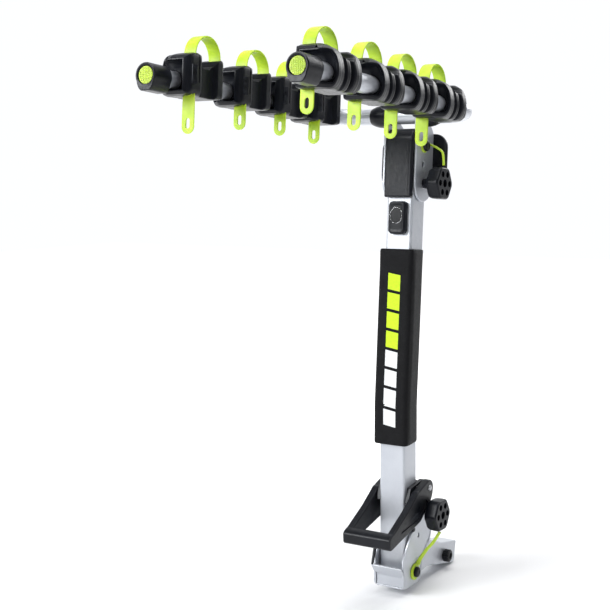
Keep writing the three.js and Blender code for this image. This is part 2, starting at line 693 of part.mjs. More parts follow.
// A shallow cover on the outside of the left plate, hollowed for the pivot bolt's head.
function leftCover() {
  const section = roundedSection(26, -88, 14, 22, 22, 5).map(([y, z]) => [y - 2, z]);
  const ring = (grow, x) => section.map(([y, z]) => new THREE.Vector3(x, y * grow, -37 + (z + 37) * grow));
  const start = -yokeOuter - clearance;
  const shell = loft([ring(0.82, start - leftCoverDepth), ring(0.96, start - leftCoverDepth + 5), ring(1, start)]);
  return carve(shell, [], [rodX(headBoltRadius + 4.5, start - 7, start + 1, 0, 0)]);
}
place(head, 'left_cover', leftCover(), black);

place(head, 'upper_pivot_bolt', pivotBolt(headBoltRadius, yokeOuter, 0, 0), steel);
place(head, 'upper_pivot_cap', pivotCap(headBoltRadius, yokeOuter, 0, 0), black);
place(head, 'upper_lock_stud', turnedX([
  [mastWidth / 2 + clearance, 0], [mastWidth / 2 + clearance, knobStudRadius],
  [upperKnob.x + 12, knobStudRadius], [upperKnob.x + 12, 0],
], upperKnob.y, upperKnob.z), steel);
place(head, 'upper_knob', lobedKnob(upperKnob.x, upperKnob.y, upperKnob.z, yokeOuter + 1, Math.PI / 2), black);

const upperTetherRoute = [
  [yokeOuter + 3, 13, 5.5],
  [yokeOuter + 6, 18, 4.5],
  [yokeOuter + 22, 21, -3],
  [yokeOuter + 36, 19, -14],
  [upperKnob.x + knobThickness - 6, upperKnob.y + 3, upperKnob.z + knobRadius + 2.4],
];
place(head, 'upper_tether', tether(upperEyeRadius, headBoltRadius + clearance, yokeOuter, 0, 0,
  upperTetherRoute, tetherWidth), lime);

// ---------- arms ----------

const arms = new THREE.Group();           // origin in the middle of the cross tube, arms along -Y
arms.position.set(0, cross.y, cross.z);
head.add(arms);
const armX = armSpacing / 2;

// The bent tube: its stations run from one tip round the cross tube to the other.
function armRings(radius, extra, sides) {
  const stations = [];
  const tip = -(armLength - 12) - extra;
  const turn = 7;
  const addStation = (x, y, angle) => stations.push({ x, y, angle });
  addStation(armX, tip, 0);
  for (let i = 0; i <= turn; i++) {
    const angle = (Math.PI / 2) * (i / turn);
    addStation(armX - armBend + armBend * Math.cos(angle), -armBend + armBend * Math.sin(angle), angle);
  }
  for (let i = 0; i <= turn; i++) {
    const angle = (Math.PI / 2) * (1 + i / turn);
    addStation(armBend - armX + armBend * Math.cos(angle), -armBend + armBend * Math.sin(angle), angle);
  }
  addStation(-armX, tip, Math.PI);
  return stations.map(({ x, y, angle }) => {
    const ring = [];
    for (let i = 0; i < sides; i++) {
      const around = (2 * Math.PI * i) / sides;
      const out = radius * Math.cos(around);
      ring.push(new THREE.Vector3(x + out * Math.cos(angle), y + out * Math.sin(angle), radius * Math.sin(around)));
    }
    return ring.reverse();
  });
}
const armTubeSolid = carve(loft(armRings(armTube / 2, 0, 16)), [],
  [loft(armRings(armTube / 2 - armTubeWall, 2, 8))]);
place(arms, 'arm_frame', armTubeSolid, silver);

function collar(side) {
  const bore = armTube / 2 + clearance;
  const from = yokeOuter + clearance;
  const profile = [
    [from, bore], [from, collarRadius], [from + collarLength * 0.45, collarRadius - 1],
    [from + collarLength * 0.85, bore + 4], [from + collarLength, bore + 1.5], [from + collarLength, bore],
    [from, bore],
  ];
  const geometry = turnedX(profile, 0, 0, 20);
  if (side < 0) geometry.rotateZ(Math.PI);
  return geometry;
}
place(arms, 'collar_left', collar(-1), black);
place(arms, 'collar_right', collar(1), black);

// A cap over the tube's end: round on top, with a narrower chin below.
function endCap() {
  const shape = new THREE.Shape();
  const cheek = radians(-28);
  shape.absarc(0, 0, capRadius, cheek, Math.PI - cheek);
  shape.quadraticCurveTo(-capRadius * 0.72, -capChin + 3, -9, -capChin);
  shape.lineTo(9, -capChin);
  shape.quadraticCurveTo(capRadius * 0.72, -capChin + 3, capRadius * Math.cos(cheek), capRadius * Math.sin(cheek));
  const body = new THREE.ExtrudeGeometry(shape, { depth: capLength, bevelEnabled: false, curveSegments: 8 });
  body.rotateX(Math.PI / 2).translate(0, capLength - armLength, 0);
  const tubeEnd = -(armLength - 12);
  return carve(body, [], [
    rodY(armTube / 2 + clearance, tubeEnd - clearance, 0, 0, 0, 20),
    rodY(insertRadius + clearance, -armLength - 1, -armLength + insertRecess + insertThickness + clearance, 0, 0, 20),
  ]);
}

function capInsert() {
  return rodY(insertRadius, -armLength + insertRecess, -armLength + insertRecess + insertThickness, 0, 0, 20);
}

// ---------- cradles and straps ----------

// One cradle, its origin on the arm axis at the strap's buckled leg.
// inward is +1 where the rack's middle lies at +X and -1 where it lies at -X.
const housingInner = armTube / 2 + clearance + 1.4;         // where the strap's slot starts, from the arm axis
const strapMiddle = housingInner + strapWidth / 2;
const housingOuter = housingInner + strapWidth + 4;
const waistOuter = housingOuter - 9;                        // between the two posts that hold the strap
const cradleRear = strapSpan + 16;
const cradleFront = -24;
const shoulderOut = armTube / 2 + 14;

function spanX(inward, from, to) {
  return [inward * from, inward * to].sort((a, b) => a - b);
}

function cradle(inward) {
  const side = new THREE.Shape();
  side.moveTo(cradleFront, -16);
  side.quadraticCurveTo(cradleFront + 2, -27, cradleFront + 16, -28);
  side.lineTo(cradleRear - 14, -28);
  side.quadraticCurveTo(cradleRear, -27, cradleRear, -12);
  side.lineTo(cradleRear, 28);
  side.quadraticCurveTo(cradleRear, 47, cradleRear - 12, 47);
  side.quadraticCurveTo(cradleRear - 24, 47, strapSpan - 12, 34);
  side.quadraticCurveTo(strapSpan / 2 + 2, 14, strapSpan / 2 - 14, 36);
  side.quadraticCurveTo(10, 52, -4, 49);
  side.quadraticCurveTo(cradleFront + 2, 46, cradleFront, 26);
  side.closePath();
  const [x0, x1] = spanX(inward, -shoulderOut, housingOuter);
  const body = slabX(side, x0, x1, 3);

  const front = new THREE.Shape();              // drawn in (Z, X), seen along the arm
  const a = inward * -shoulderOut;
  const b = inward * housingOuter;
  front.moveTo(-29, a * 0.35);
  front.quadraticCurveTo(-22, a, 2, a);
  front.lineTo(20, a);
  front.quadraticCurveTo(48, a * 0.9, 51, 0);
  front.lineTo(51, b * 0.72);
  front.quadraticCurveTo(50, b, 34, b);
  front.lineTo(-14, b);
  front.quadraticCurveTo(-27, b * 0.9, -29, b * 0.45);
  front.closePath();
  const envelope = slabY(front, cradleFront - 1, cradleRear + 1, 3);

  const half = strapThickness / 2 + clearance;
  const [s0, s1] = spanX(inward, housingInner - clearance, housingInner + strapWidth + clearance);
  const [w0, w1] = spanX(inward, waistOuter, housingOuter + 1);
  const dish = new THREE.CylinderGeometry(armTube / 2 + 2, armTube / 2 + 11, 14, 16);
  dish.translate(0, cradleFront + 6, 0);
  return carve(common(body, envelope), [], [
    rodY(armTube / 2 + clearance, cradleFront - 2, cradleRear + 2, 0, 0),
    box(s0, s1, -half, half, -60, 80),
    box(s0, s1, strapSpan - half, strapSpan + half, 12, 80),
    box(w0, w1, 18, strapSpan - 9, -60, 80),
    dish,
  ]);
}

// The rubber strap: anchored behind the saddle, over the top in an arch, down through the slot to its tail.
function strap(inward, drop) {
  const half = strapThickness / 2;
  const middle = strapSpan / 2;
  const band = new THREE.Shape();
  const anchor = 14;
  band.moveTo(-half, -drop);
  band.lineTo(half, -drop);
  band.lineTo(half, strapBase);
  band.absellipse(middle, strapBase, middle - half, strapPeak - strapBase - strapThickness,
    Math.PI, 0, true);
  band.lineTo(strapSpan - half, anchor);
  band.lineTo(strapSpan + half, anchor);
  band.lineTo(strapSpan + half, strapBase);
  band.absellipse(middle, strapBase, middle + half, strapPeak - strapBase, 0, Math.PI);
  band.closePath();
  const [x0, x1] = spanX(inward, housingInner, housingInner + strapWidth);
  const body = slabX(band, x0, x1, 9);

  const centre = inward * strapMiddle;
  const round = strapWidth / 2;
  const window = new THREE.Shape();             // drawn in (Z, X)
  window.moveTo(strapPeak + 5, centre - round - 1);
  window.lineTo(strapPeak + 5, centre + round + 1);
  window.lineTo(round - drop, centre + round + 1);
  window.lineTo(round - drop, centre + round);
  window.absarc(round - drop, centre, round, Math.PI / 2, Math.PI * 1.5);
  window.lineTo(round - drop, centre - round - 1);
  window.closePath();
  const trimmed = common(body, slabY(window, -20, strapSpan + 20, 5));

  const slot = new THREE.Shape();
  const low = 9 - drop;
  slot.absarc(low + slotLength - slotWidth / 2, centre, slotWidth / 2, -Math.PI / 2, Math.PI / 2);
  slot.absarc(low + slotWidth / 2, centre, slotWidth / 2, Math.PI / 2, Math.PI * 1.5);
  return carve(trimmed, [], [slabY(slot, -10, 10, 3)]);
}

for (const [sideName, side] of [['left', -1], ['right', 1]]) {
  const arm = new THREE.Group();
  arm.position.x = side * armX;
  arms.add(arm);
  place(arm, `end_cap_${sideName}`, endCap(), black);
  place(arm, `cap_insert_${sideName}`, capInsert(), lime);
  cradlePlaces.forEach((fromTip, index) => {
    const seat = new THREE.Group();
    seat.position.y = fromTip - armLength;
    arm.add(seat);
    place(seat, `cradle_${sideName}_${index + 1}`, cradle(-side), black);
    place(seat, `strap_${sideName}_${index + 1}`, strap(-side, tailDrops[sideName][index]), lime);
  });
}

// ---------- origin at the middle of the shank's end ----------

rack.position.copy(shankEnd).negate();
const model = new THREE.Group();
model.add(rack);

export default model;
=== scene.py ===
# %% [markdown]
# # A hitch mounted bike rack
# The rack is a steel mast that stands in a yoke on a square shank. Two arms reach out from its head,
# and each arm carries four cradles with rubber straps. The solid frame is loaded first. It gives every
# piece its place, so nothing here has to be fitted by eye. Each piece is then made again with finer
# shapes, and rides on the solid body that it belongs to.

# %% Load the frame
import json
import math
import bmesh
import bpy
import numpy as np
from mathutils import Matrix, Vector


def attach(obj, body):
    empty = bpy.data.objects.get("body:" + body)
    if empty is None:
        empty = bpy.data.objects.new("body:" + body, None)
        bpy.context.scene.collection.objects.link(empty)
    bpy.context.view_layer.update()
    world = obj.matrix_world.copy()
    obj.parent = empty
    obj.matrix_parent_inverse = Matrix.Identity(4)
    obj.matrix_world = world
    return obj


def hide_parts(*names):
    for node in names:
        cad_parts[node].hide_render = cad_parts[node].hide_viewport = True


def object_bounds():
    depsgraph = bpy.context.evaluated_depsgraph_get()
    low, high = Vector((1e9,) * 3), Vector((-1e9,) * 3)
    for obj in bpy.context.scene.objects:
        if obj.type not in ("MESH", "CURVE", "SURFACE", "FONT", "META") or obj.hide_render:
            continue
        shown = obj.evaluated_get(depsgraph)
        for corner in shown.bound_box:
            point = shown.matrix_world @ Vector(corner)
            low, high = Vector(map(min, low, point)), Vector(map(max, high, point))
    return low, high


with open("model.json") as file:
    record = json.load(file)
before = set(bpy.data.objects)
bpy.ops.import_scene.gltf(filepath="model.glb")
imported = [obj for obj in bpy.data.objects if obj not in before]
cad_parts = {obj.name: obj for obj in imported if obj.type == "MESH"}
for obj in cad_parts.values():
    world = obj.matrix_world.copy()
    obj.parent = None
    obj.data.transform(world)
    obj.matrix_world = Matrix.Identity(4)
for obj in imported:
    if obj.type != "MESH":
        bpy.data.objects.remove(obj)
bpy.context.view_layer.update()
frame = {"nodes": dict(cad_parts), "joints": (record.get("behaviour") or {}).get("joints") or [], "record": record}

joints = {joint["name"]: joint for joint in frame["joints"]}

# %% [markdown]
# ## Working frames
# Rack parts are easiest to describe in millimetres from a point that matters: the tilt pivot for the yoke,
# the bend for the mast, the arm pivot for the head. The joints of the frame hold those points. One matrix
# for each working frame turns such millimetres into metres in the shared frame.

# %% Working frames
MM = 0.001
tilt_pivot = Vector(joints["mast_tilt"]["pos_m"])
arm_pivot = Vector(joints["arm_fold"]["pos_m"])
pivot_behind_mast = 5.0
bend_height = 367.0
foot = tilt_pivot - Vector((0, pivot_behind_mast * MM, 0))
bend = foot + Vector((0, 0, bend_height * MM))
lean = math.atan2(arm_pivot.y - bend.y, arm_pivot.z - bend.z)
upper_length = (arm_pivot - bend).length / MM

scale = Matrix.Diagonal((MM, MM, MM, 1))
turn = Matrix.Rotation(-lean, 4, "X")
YOKE = Matrix.Translation(foot) @ scale
MAST = Matrix.Translation(bend) @ turn @ scale
HEAD = Matrix.Translation(arm_pivot) @ turn @ scale
cross_y, cross_z = -16.0, 62.0
arm_x = 156.0
ARMS = HEAD @ Matrix.Translation((0, cross_y, cross_z))
arm_side = {"left": -1, "right": 1}
arm_length = 670.0
cradle_places = [84.0, 240.0, 376.0, 503.0]
print("lean", round(math.degrees(lean), 2), "degrees; bend to arm pivot", round(upper_length), "mm")

# %% [markdown]
# ## Making meshes
# Most of the rack is sheet, tube and moulded plastic, so a few ways of making a mesh cover nearly all of
# it: a loft through rings, a flat slab with rounded edges, a turned piece and a swept bar. Writing them
# once keeps the later cells short. Every finished mesh is moved into the shared frame, and its object
# stays at the origin.

# %% Mesh helpers
def placed(name, data):
    """A new object in the scene."""
    piece = bpy.data.objects.new(name, data)
    bpy.context.scene.collection.objects.link(piece)
    return piece


def new_piece(name, vertices, faces):
    mesh = bpy.data.meshes.new(name)
    mesh.from_pydata([tuple(v) for v in vertices], [], faces)
    return placed(name, mesh)


def clean(piece, distance=0.001):
    """Joins doubled points and turns every face outwards."""
    work = bmesh.new()
    work.from_mesh(piece.data)
    bmesh.ops.remove_doubles(work, verts=work.verts, dist=distance)
    bmesh.ops.recalc_face_normals(work, faces=work.faces)
    work.to_mesh(piece.data)
    work.free()
    return piece


def bake(piece):
    """Puts the result of the modifiers into the mesh."""
    bpy.context.view_layer.update()
    graph = bpy.context.evaluated_depsgraph_get()
    mesh = bpy.data.meshes.new_from_object(piece.evaluated_get(graph))
    piece.modifiers.clear()
    if piece.type == "MESH":
        piece.data = mesh
        return piece
    made = placed(piece.name, mesh)
    bpy.data.objects.remove(piece)
    return made


def loft(name, rings, ends="flat"):
    """Joins rings of equal length. Ends are closed flat, or the last ring is joined to the first."""
    count = len(rings[0])
    vertices = [point for ring in rings for point in ring]
    total = len(rings)
    faces = []
    for k in range(total if ends == "joined" else total - 1):
        here, there = k * count, ((k + 1) % total) * count
        for i in range(count):
            j = (i + 1) % count
            faces.append((here + i, here + j, there + j, there + i))
    if ends == "flat":
        faces.append(tuple(range(count)))
        faces.append(tuple(range((total - 1) * count, total * count)))
    return clean(new_piece(name, vertices, faces))


def rounded(piece, width, segments=3, angle=32):
    """Rounds the sharp edges."""
    bevel = piece.modifiers.new("edges", "BEVEL")
    bevel.width, bevel.segments = width, segments
    bevel.limit_method, bevel.angle_limit = "ANGLE", math.radians(angle)
    bevel.use_clamp_overlap = True
    return bake(piece)


def cut(piece, *cutters, operation="DIFFERENCE"):
    """Takes the cutters away from the piece, or joins them on."""
    for cutter in cutters:
        modifier = piece.modifiers.new("cut", "BOOLEAN")
        modifier.operation, modifier.solver, modifier.object = operation, "EXACT", cutter
    bake(piece)
    for cutter in cutters:
        bpy.data.objects.remove(cutter)
    return piece


def combine(name, *pieces):
    """Several meshes in one object."""
    work = bmesh.new()
    for piece in pieces:
        work.from_mesh(piece.data)
    mesh = bpy.data.meshes.new(name)
    work.to_mesh(mesh)
    work.free()
    made = placed(name, mesh)
    for piece in pieces:
        bpy.data.objects.remove(piece)
    return made


def soft_min(a, b, soft=1.6):
    """The smaller of two lengths, blended where they are nearly equal."""
    return min(a, b) - soft * math.log(1 + math.exp(-abs(a - b) / soft))


# %% [markdown]
# Plates, levers and covers are drawn as an outline from the side. A small pen makes such an outline from
# lines, bends and arcs. A filled curve with a bevel makes the slab, because it rounds the edges of holes
# and corners evenly, which a bevel on a triangulated face does less well.

# %% Outlines and slabs
class Pen:
    def __init__(self, a, b):
        self.points = [(a, b)]

    def line(self, a, b):
        self.points.append((a, b))
        return self

    def bend(self, ca, cb, a, b, steps=10):
        a0, b0 = self.points[-1]
        for i in range(1, steps + 1):
            t = i / steps
            u = 1 - t
            self.points.append((u * u * a0 + 2 * u * t * ca + t * t * a,
                                u * u * b0 + 2 * u * t * cb + t * t * b))
        return self

    def arc(self, ca, cb, radius, start, end, steps=16):
        for i in range(steps + 1):
            angle = math.radians(start + (end - start) * i / steps)
            self.points.append((ca + radius * math.cos(angle), cb + radius * math.sin(angle)))
        return self


def circle(ca, cb, radius, steps=32):
    return [(ca + radius * math.cos(2 * math.pi * i / steps), cb + radius * math.sin(2 * math.pi * i / steps))
            for i in range(steps)]


def stadium(ca, low, high, radius, steps=10):
    """An upright slot."""
    return Pen(ca + radius, low).line(ca + radius, high).arc(ca, high, radius, 0, 180, steps).arc(
        ca, low, radius, 180, 360, steps).points


SIDE = Matrix(((0, 0, 1, 0), (1, 0, 0, 0), (0, 1, 0, 0), (0, 0, 0, 1)))      # (a, b, depth) to (depth, a, b)
FRONT = Matrix(((1, 0, 0, 0), (0, 0, -1, 0), (0, 1, 0, 0), (0, 0, 0, 1)))    # (a, b, depth) to (a, -depth, b)


def slab(name, outline, start, end, holes=(), edge=0.8, facing=SIDE):
    """A flat piece with rounded edges, drawn in (Y, Z) and thick along X unless it faces another way.
    Holes are widened by twice the edge's size."""
    curve = bpy.data.curves.new(name, "CURVE")
    curve.dimensions = "2D"
    curve.fill_mode = "BOTH"
    opened = []
    for points in holes:
        ca, cb = sum(p[0] for p in points) / len(points), sum(p[1] for p in points) / len(points)
        opened.append([(ca + (a - ca) * (1 + 2 * edge / math.dist((a, b), (ca, cb))),
                        cb + (b - cb) * (1 + 2 * edge / math.dist((a, b), (ca, cb)))) for a, b in points])
    for points in [outline, *opened]:
        spline = curve.splines.new("POLY")
        kept = [p for i, p in enumerate(points) if math.dist(p, points[i - 1]) > 0.02]
        spline.points.add(len(kept) - 1)
        for target, (a, b) in zip(spline.points, kept):
            target.co = (a, b, 0, 1)
        spline.use_cyclic_u = True
    curve.extrude = (end - start) / 2 - edge
    curve.bevel_depth = edge
    curve.bevel_resolution = 2
    curve.offset = -edge
    piece = bake(placed(name, curve))
    piece.data.transform(facing @ Matrix.Translation((0, 0, (start + end) / 2)))
    return clean(piece, 0.01)


def turned(name, profile, centre, steps=48):
    """[distance along X, radius] pairs, turned about a line along X through centre."""
    cy, cz = centre
    rings = []
    for along, radius in profile:
        radius = max(radius, 0.01)
        rings.append([(along, cy + radius * math.cos(2 * math.pi * i / steps),
                       cz + radius * math.sin(2 * math.pi * i / steps)) for i in range(steps)])
    return loft(name, rings)


def smooth_path(points, steps=10):
    """A rounded line through the points."""
    p = [np.array(q, float) for q in points]
    p = [2 * p[0] - p[1], *p, 2 * p[-1] - p[-2]]
    out = []
    for i in range(1, len(p) - 2):
        for k in range(steps):
            t = k / steps
            out.append(0.5 * ((2 * p[i]) + (p[i + 1] - p[i - 1]) * t
                              + (2 * p[i - 1] - 5 * p[i] + 4 * p[i + 1] - p[i + 2]) * t * t
                              + (3 * p[i] - 3 * p[i + 1] + p[i + 2] - p[i - 1]) * t ** 3))
    out.append(p[-2])
    return out


def swept(name, path, sizes, across=(1, 0, 0), steps=16, power=2.0, ends="flat"):
    """A bar along a path. sizes gives half the width and half the thickness at each point, and across
    the direction of the width. A power above 2 squares the section."""
    rings = []
    across = np.array(across, float)
    for k, point in enumerate(path):
        ahead = np.array(path[min(k + 1, len(path) - 1)]) - np.array(path[max(k - 1, 0)])
        ahead = ahead / np.linalg.norm(ahead)
        wide = across - ahead * float(across @ ahead)
        wide = wide / np.linalg.norm(wide)
        thick = np.cross(ahead, wide)
        half_w, half_t = sizes(k / (len(path) - 1))
        ring = []
        for i in range(steps):
            c, s = math.cos(2 * math.pi * i / steps), math.sin(2 * math.pi * i / steps)
            c = math.copysign(abs(c) ** (2 / power), c)
            s = math.copysign(abs(s) ** (2 / power), s)
            ring.append(tuple(np.array(point) + wide * half_w * c + thick * half_t * s))
        rings.append(ring)
    return loft(name, rings, ends)


# %% [markdown]
# ## Finishes
# Eight finishes cover the rack. Each has colour, gloss and fine relief from noise on Object coordinates,
# so grain has a real size in millimetres and stays on the piece when it moves.

# %% Shader helpers
class Shader:
    """A material with its Principled node, and short ways to add noise to it."""

    def __init__(self, name):
        self.material = bpy.data.materials.new(name)
        self.material.use_nodes = True
        self.nodes = self.material.node_tree.nodes
        self.links = self.material.node_tree.links
        self.surface = self.nodes["Principled BSDF"]
        self.place = self.nodes.new("ShaderNodeTexCoord").outputs["Object"]

    def set(self, **values):
        for key, value in values.items():
            self.surface.inputs[key.replace("_", " ")].default_value = value

    def noise(self, size, detail=3.0, rough=0.55, stretch=(1, 1, 1)):
        """Noise whose grains are about size metres across."""
        mapping = self.nodes.new("ShaderNodeMapping")
        mapping.inputs["Scale"].default_value = stretch
        self.links.new(self.place, mapping.inputs["Vector"])
        texture = self.nodes.new("ShaderNodeTexNoise")
        texture.inputs["Scale"].default_value = 1 / size
        texture.inputs["Detail"].default_value = detail
        texture.inputs["Roughness"].default_value = rough
        self.links.new(mapping.outputs[0], texture.inputs["Vector"])
        return texture.outputs[0]

    def spread(self, value, low, high, from_low=0.3, from_high=0.7):
        node = self.nodes.new("ShaderNodeMapRange")
        node.inputs["From Min"].default_value, node.inputs["From Max"].default_value = from_low, from_high
        node.inputs["To Min"].default_value, node.inputs["To Max"].default_value = low, high
        self.links.new(value, node.inputs["Value"])
        return node.outputs["Result"]

    def math(self, kind, a, b=None):
        node = self.nodes.new("ShaderNodeMath")
        node.operation = kind
        for socket, value in zip(node.inputs, (a, b)):
            if value is None:
                continue
            if isinstance(value, (int, float)):
                socket.default_value = value
            else:
                self.links.new(value, socket)
        return node.outputs[0]

    def mix(self, factor, first, second):
        node = self.nodes.new("ShaderNodeMix")
        node.data_type = "RGBA"
        self.links.new(factor, node.inputs["Factor"])
        for socket, value in ((node.inputs[6], first), (node.inputs[7], second)):
            if isinstance(value, (tuple, list)):
                socket.default_value = (*value, 1)
            else:
                self.links.new(value, socket)
        return node.outputs[2]

    def colour(self, value):
        self.links.new(value, self.surface.inputs["Base Color"])

    def gloss(self, value):
        self.links.new(value, self.surface.inputs["Roughness"])

    def relief(self, *layers):
        """Bump from (height, strength, distance in metres) layers."""
        normal = None
        for height, strength, distance in layers:
            node = self.nodes.new("ShaderNodeBump")
            node.inputs["Strength"].default_value = strength
            node.inputs["Distance"].default_value = distance
            self.links.new(height, node.inputs["Height"])
            if normal is not None:
                self.links.new(normal, node.inputs["Normal"])
            normal = node.outputs[0]
        self.links.new(normal, self.surface.inputs["Normal"])

    def painted_edge_highlight(self, colour, bright, amount):
        """Painted edge highlight: convex edges made brighter, from the angle between neighbouring faces."""
        geometry = self.nodes.new("ShaderNodeNewGeometry")
        edge = self.spread(geometry.outputs["Pointiness"], 0, amount, 0.53, 0.62)
        edge = self.math("MULTIPLY", edge, self.spread(self.noise(0.012), 0.2, 1, 0.4, 0.6))
        return self.mix(edge, colour, bright)


# %% [markdown]
# The frame is powder coated in a cool silver. The coat is a metallic paint: it is bright but not mirror
# like, with a faint orange peel and a fine sparkle. Metal and paint are mixed with the Metallic value.

# %% Silver coat
def silver_coat():
    s = Shader("silver_coat")
    tone = s.spread(s.noise(0.09, 2), 0, 1)
    base = s.mix(tone, (0.50, 0.52, 0.565), (0.565, 0.585, 0.625))
    flake = s.spread(s.noise(0.0007, 1), 0, 0.35, 0.5, 0.75)
    base = s.mix(flake, base, (0.72, 0.74, 0.78))
    # Convex edges get a painted highlight in a paler silver, broken up by noise.
    s.colour(s.painted_edge_highlight(base, (0.80, 0.81, 0.83), 0.35))
    s.gloss(s.spread(s.noise(0.004, 3), 0.36, 0.46))
    s.relief((s.noise(0.0016, 2), 0.10, 0.0004), (s.noise(0.012, 2), 0.05, 0.001))
    s.set(Metallic=0.55, Coat_Weight=0.15, Coat_Roughness=0.25)
    return s.material


def bare_steel():
    s = Shader("bare_steel")
    streak = s.noise(0.0015, 3, 0.6, (0.2, 1, 1))
    s.colour(s.mix(s.spread(streak, 0, 1), (0.36, 0.37, 0.39), (0.58, 0.585, 0.60)))
    s.gloss(s.spread(streak, 0.24, 0.40))
    s.relief((streak, 0.15, 0.0002))
    s.set(Metallic=1.0)
    return s.material


def chrome_trim():
    s = Shader("chrome_trim")
    s.colour(s.mix(s.spread(s.noise(0.01), 0, 1), (0.78, 0.79, 0.80), (0.88, 0.88, 0.89)))
    s.gloss(s.spread(s.noise(0.005), 0.06, 0.14))
    s.set(Metallic=1.0)
    return s.material


# %% [markdown]
# Charcoal mouldings have a spark-eroded texture: a dense field of tiny pits that breaks up highlights.
# The lever and bracket are painted metal, a little bluer and glossier; on all of them the edges carry a painted
# highlight.

# %% Dark finishes
def charcoal_plastic(name, low, high, rough=0.34):
    s = Shader(name)
    base = s.mix(s.spread(s.noise(0.03, 3), 0, 1), low, high)
    # Convex edges get a painted highlight in bluish grey, broken up by noise.
    s.colour(s.painted_edge_highlight(base, (0.040, 0.044, 0.055), 0.6))
    s.gloss(s.spread(s.noise(0.006, 4), rough - 0.06, rough + 0.08))
    s.relief((s.noise(0.0009, 2, 0.7), 0.22, 0.0003), (s.noise(0.02, 2), 0.05, 0.001))
    s.set(Specular_IOR_Level=0.24)
    return s.material


def lever_black():
    s = Shader("lever_black")
    base = s.mix(s.spread(s.noise(0.04, 3), 0, 1), (0.0030, 0.0036, 0.0055), (0.0060, 0.0070, 0.0105))
    # Convex edges get a painted highlight in bluish grey, broken up by noise.
    s.colour(s.painted_edge_highlight(base, (0.10, 0.11, 0.125), 0.5))
    s.gloss(s.spread(s.noise(0.008, 4), 0.30, 0.42))
    s.relief((s.noise(0.0012, 2), 0.14, 0.0003))
    s.set(Specular_IOR_Level=0.28)
    return s.material


# %% [markdown]
# The straps are cast in a clear yellow-green rubber. Light goes a few millimetres into it, which makes lit
# parts glow yellow and shaded parts turn green. Subsurface scattering gives that, and a slow noise in the
# colour keeps it from looking like paint.

# %% Lime rubber
def lime_rubber():
    s = Shader("lime_rubber")
    s.colour(s.mix(s.spread(s.noise(0.035, 2), 0, 1), (0.42, 0.62, 0.020), (0.56, 0.74, 0.050)))
    s.gloss(s.spread(s.noise(0.007, 3), 0.40, 0.54))
    s.relief((s.noise(0.0014, 2), 0.10, 0.0003))
    s.set(Subsurface_Weight=0.45, Subsurface_Radius=(0.9, 1.0, 0.18), Subsurface_Scale=0.006,
          Specular_IOR_Level=0.45)
    return s.material


# %% [markdown]
# The sleeve is foam in a knitted skin. The knit is two crossed waves about a millimetre apart. The print on
# its front is a plain row of slanted bars, four white and four lime. It is placed by an attribute that
# the sleeve carries: distance across, height along the mast and depth in front of the mast's middle.

# %% Sleeve skin
print_start, print_pitch, print_count = -40.0, 41.0, 8
print_slant, print_half_width, bar_share = 0.16, 14.5, 0.84


def sleeve_skin():
    s = Shader("sleeve_skin")
    spot = s.nodes.new("ShaderNodeAttribute")
    spot.attribute_name = "on_sleeve"
    parts = s.nodes.new("ShaderNodeSeparateXYZ")
    s.links.new(spot.outputs["Vector"], parts.inputs[0])
    across, along, depth = parts.outputs
    tilted = s.math("ADD", along, s.math("MULTIPLY", across, print_slant))
    step = s.math("DIVIDE", s.math("SUBTRACT", tilted, print_start), print_pitch)
    bar = s.math("LESS_THAN", s.math("FRACT", step), bar_share)
    inside = s.math("MULTIPLY", s.math("GREATER_THAN", step, 0.0),
                    s.math("LESS_THAN", step, print_count - 0.1))
    narrow = s.math("LESS_THAN", s.math("ABSOLUTE", across), print_half_width)
    in_front = s.math("GREATER_THAN", depth, 30.0)
    ink = s.math("MULTIPLY", s.math("MULTIPLY", bar, inside), s.math("MULTIPLY", narrow, in_front))
    upper = s.math("GREATER_THAN", step, print_count / 2 - 0.08)
    worn_ink = s.math("MULTIPLY", ink, s.spread(s.noise(0.004, 3), 0.86, 1.0, 0.35, 0.5))
    cloth = s.mix(s.spread(s.noise(0.02, 3), 0, 1), (0.0022, 0.0022, 0.0028), (0.0046, 0.0046, 0.0058))
    s.colour(s.mix(worn_ink, cloth, s.mix(upper, (0.86, 0.87, 0.88), (0.60, 0.86, 0.03))))
    s.gloss(s.spread(s.noise(0.003, 3), 0.60, 0.78))
    knit = s.math("MULTIPLY", s.math("SINE", s.math("MULTIPLY", across, 5.2)),
                  s.math("SINE", s.math("MULTIPLY", along, 5.2)))
    s.relief((knit, 0.25, 0.0003), (s.noise(0.03, 3), 0.12, 0.002))
    s.set(Sheen_Weight=0.04, Sheen_Roughness=0.5, Specular_IOR_Level=0.18)
    return s.material


SILVER = silver_coat()
STEEL = bare_steel()
CHROME = chrome_trim()
CHARCOAL = charcoal_plastic("charcoal_plastic", (0.0030, 0.0036, 0.0060), (0.0058, 0.0070, 0.0112))
SATIN_BLACK = charcoal_plastic("satin_black", (0.0022, 0.0025, 0.0034), (0.0042, 0.0047, 0.0064))
LEVER_BLACK = lever_black()
LIME = lime_rubber()
SLEEVE = sleeve_skin()
print("finishes:", len(bpy.data.materials))

# %% [markdown]
# ## Handing a piece over
# A finished piece is moved into the shared frame, shaded smooth with its flats kept flat, given its finish,
# tied to a body, and the solid that it stands for is hidden.

# %% Hand over
shown = []


def hand_over(piece, where, finish, body, slot, *nodes, sharp=38):
    """Places, shades and ties a piece."""
    piece.data.transform(where)
    mesh = piece.data
    mesh.polygons.foreach_set("use_smooth", [True] * len(mesh.polygons))
    mesh.set_sharp_from_angle(angle=math.radians(sharp))
    flat = piece.modifiers.new("flats", "WEIGHTED_NORMAL")
    flat.keep_sharp = True
    bake(piece)
    piece.data.materials.clear()
    piece.data.materials.append(finish)
    piece.data.polygons.foreach_set("material_index", [0] * len(piece.data.polygons))
    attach(piece, body)
    if nodes:
        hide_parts(*nodes)
    shown.append(piece)


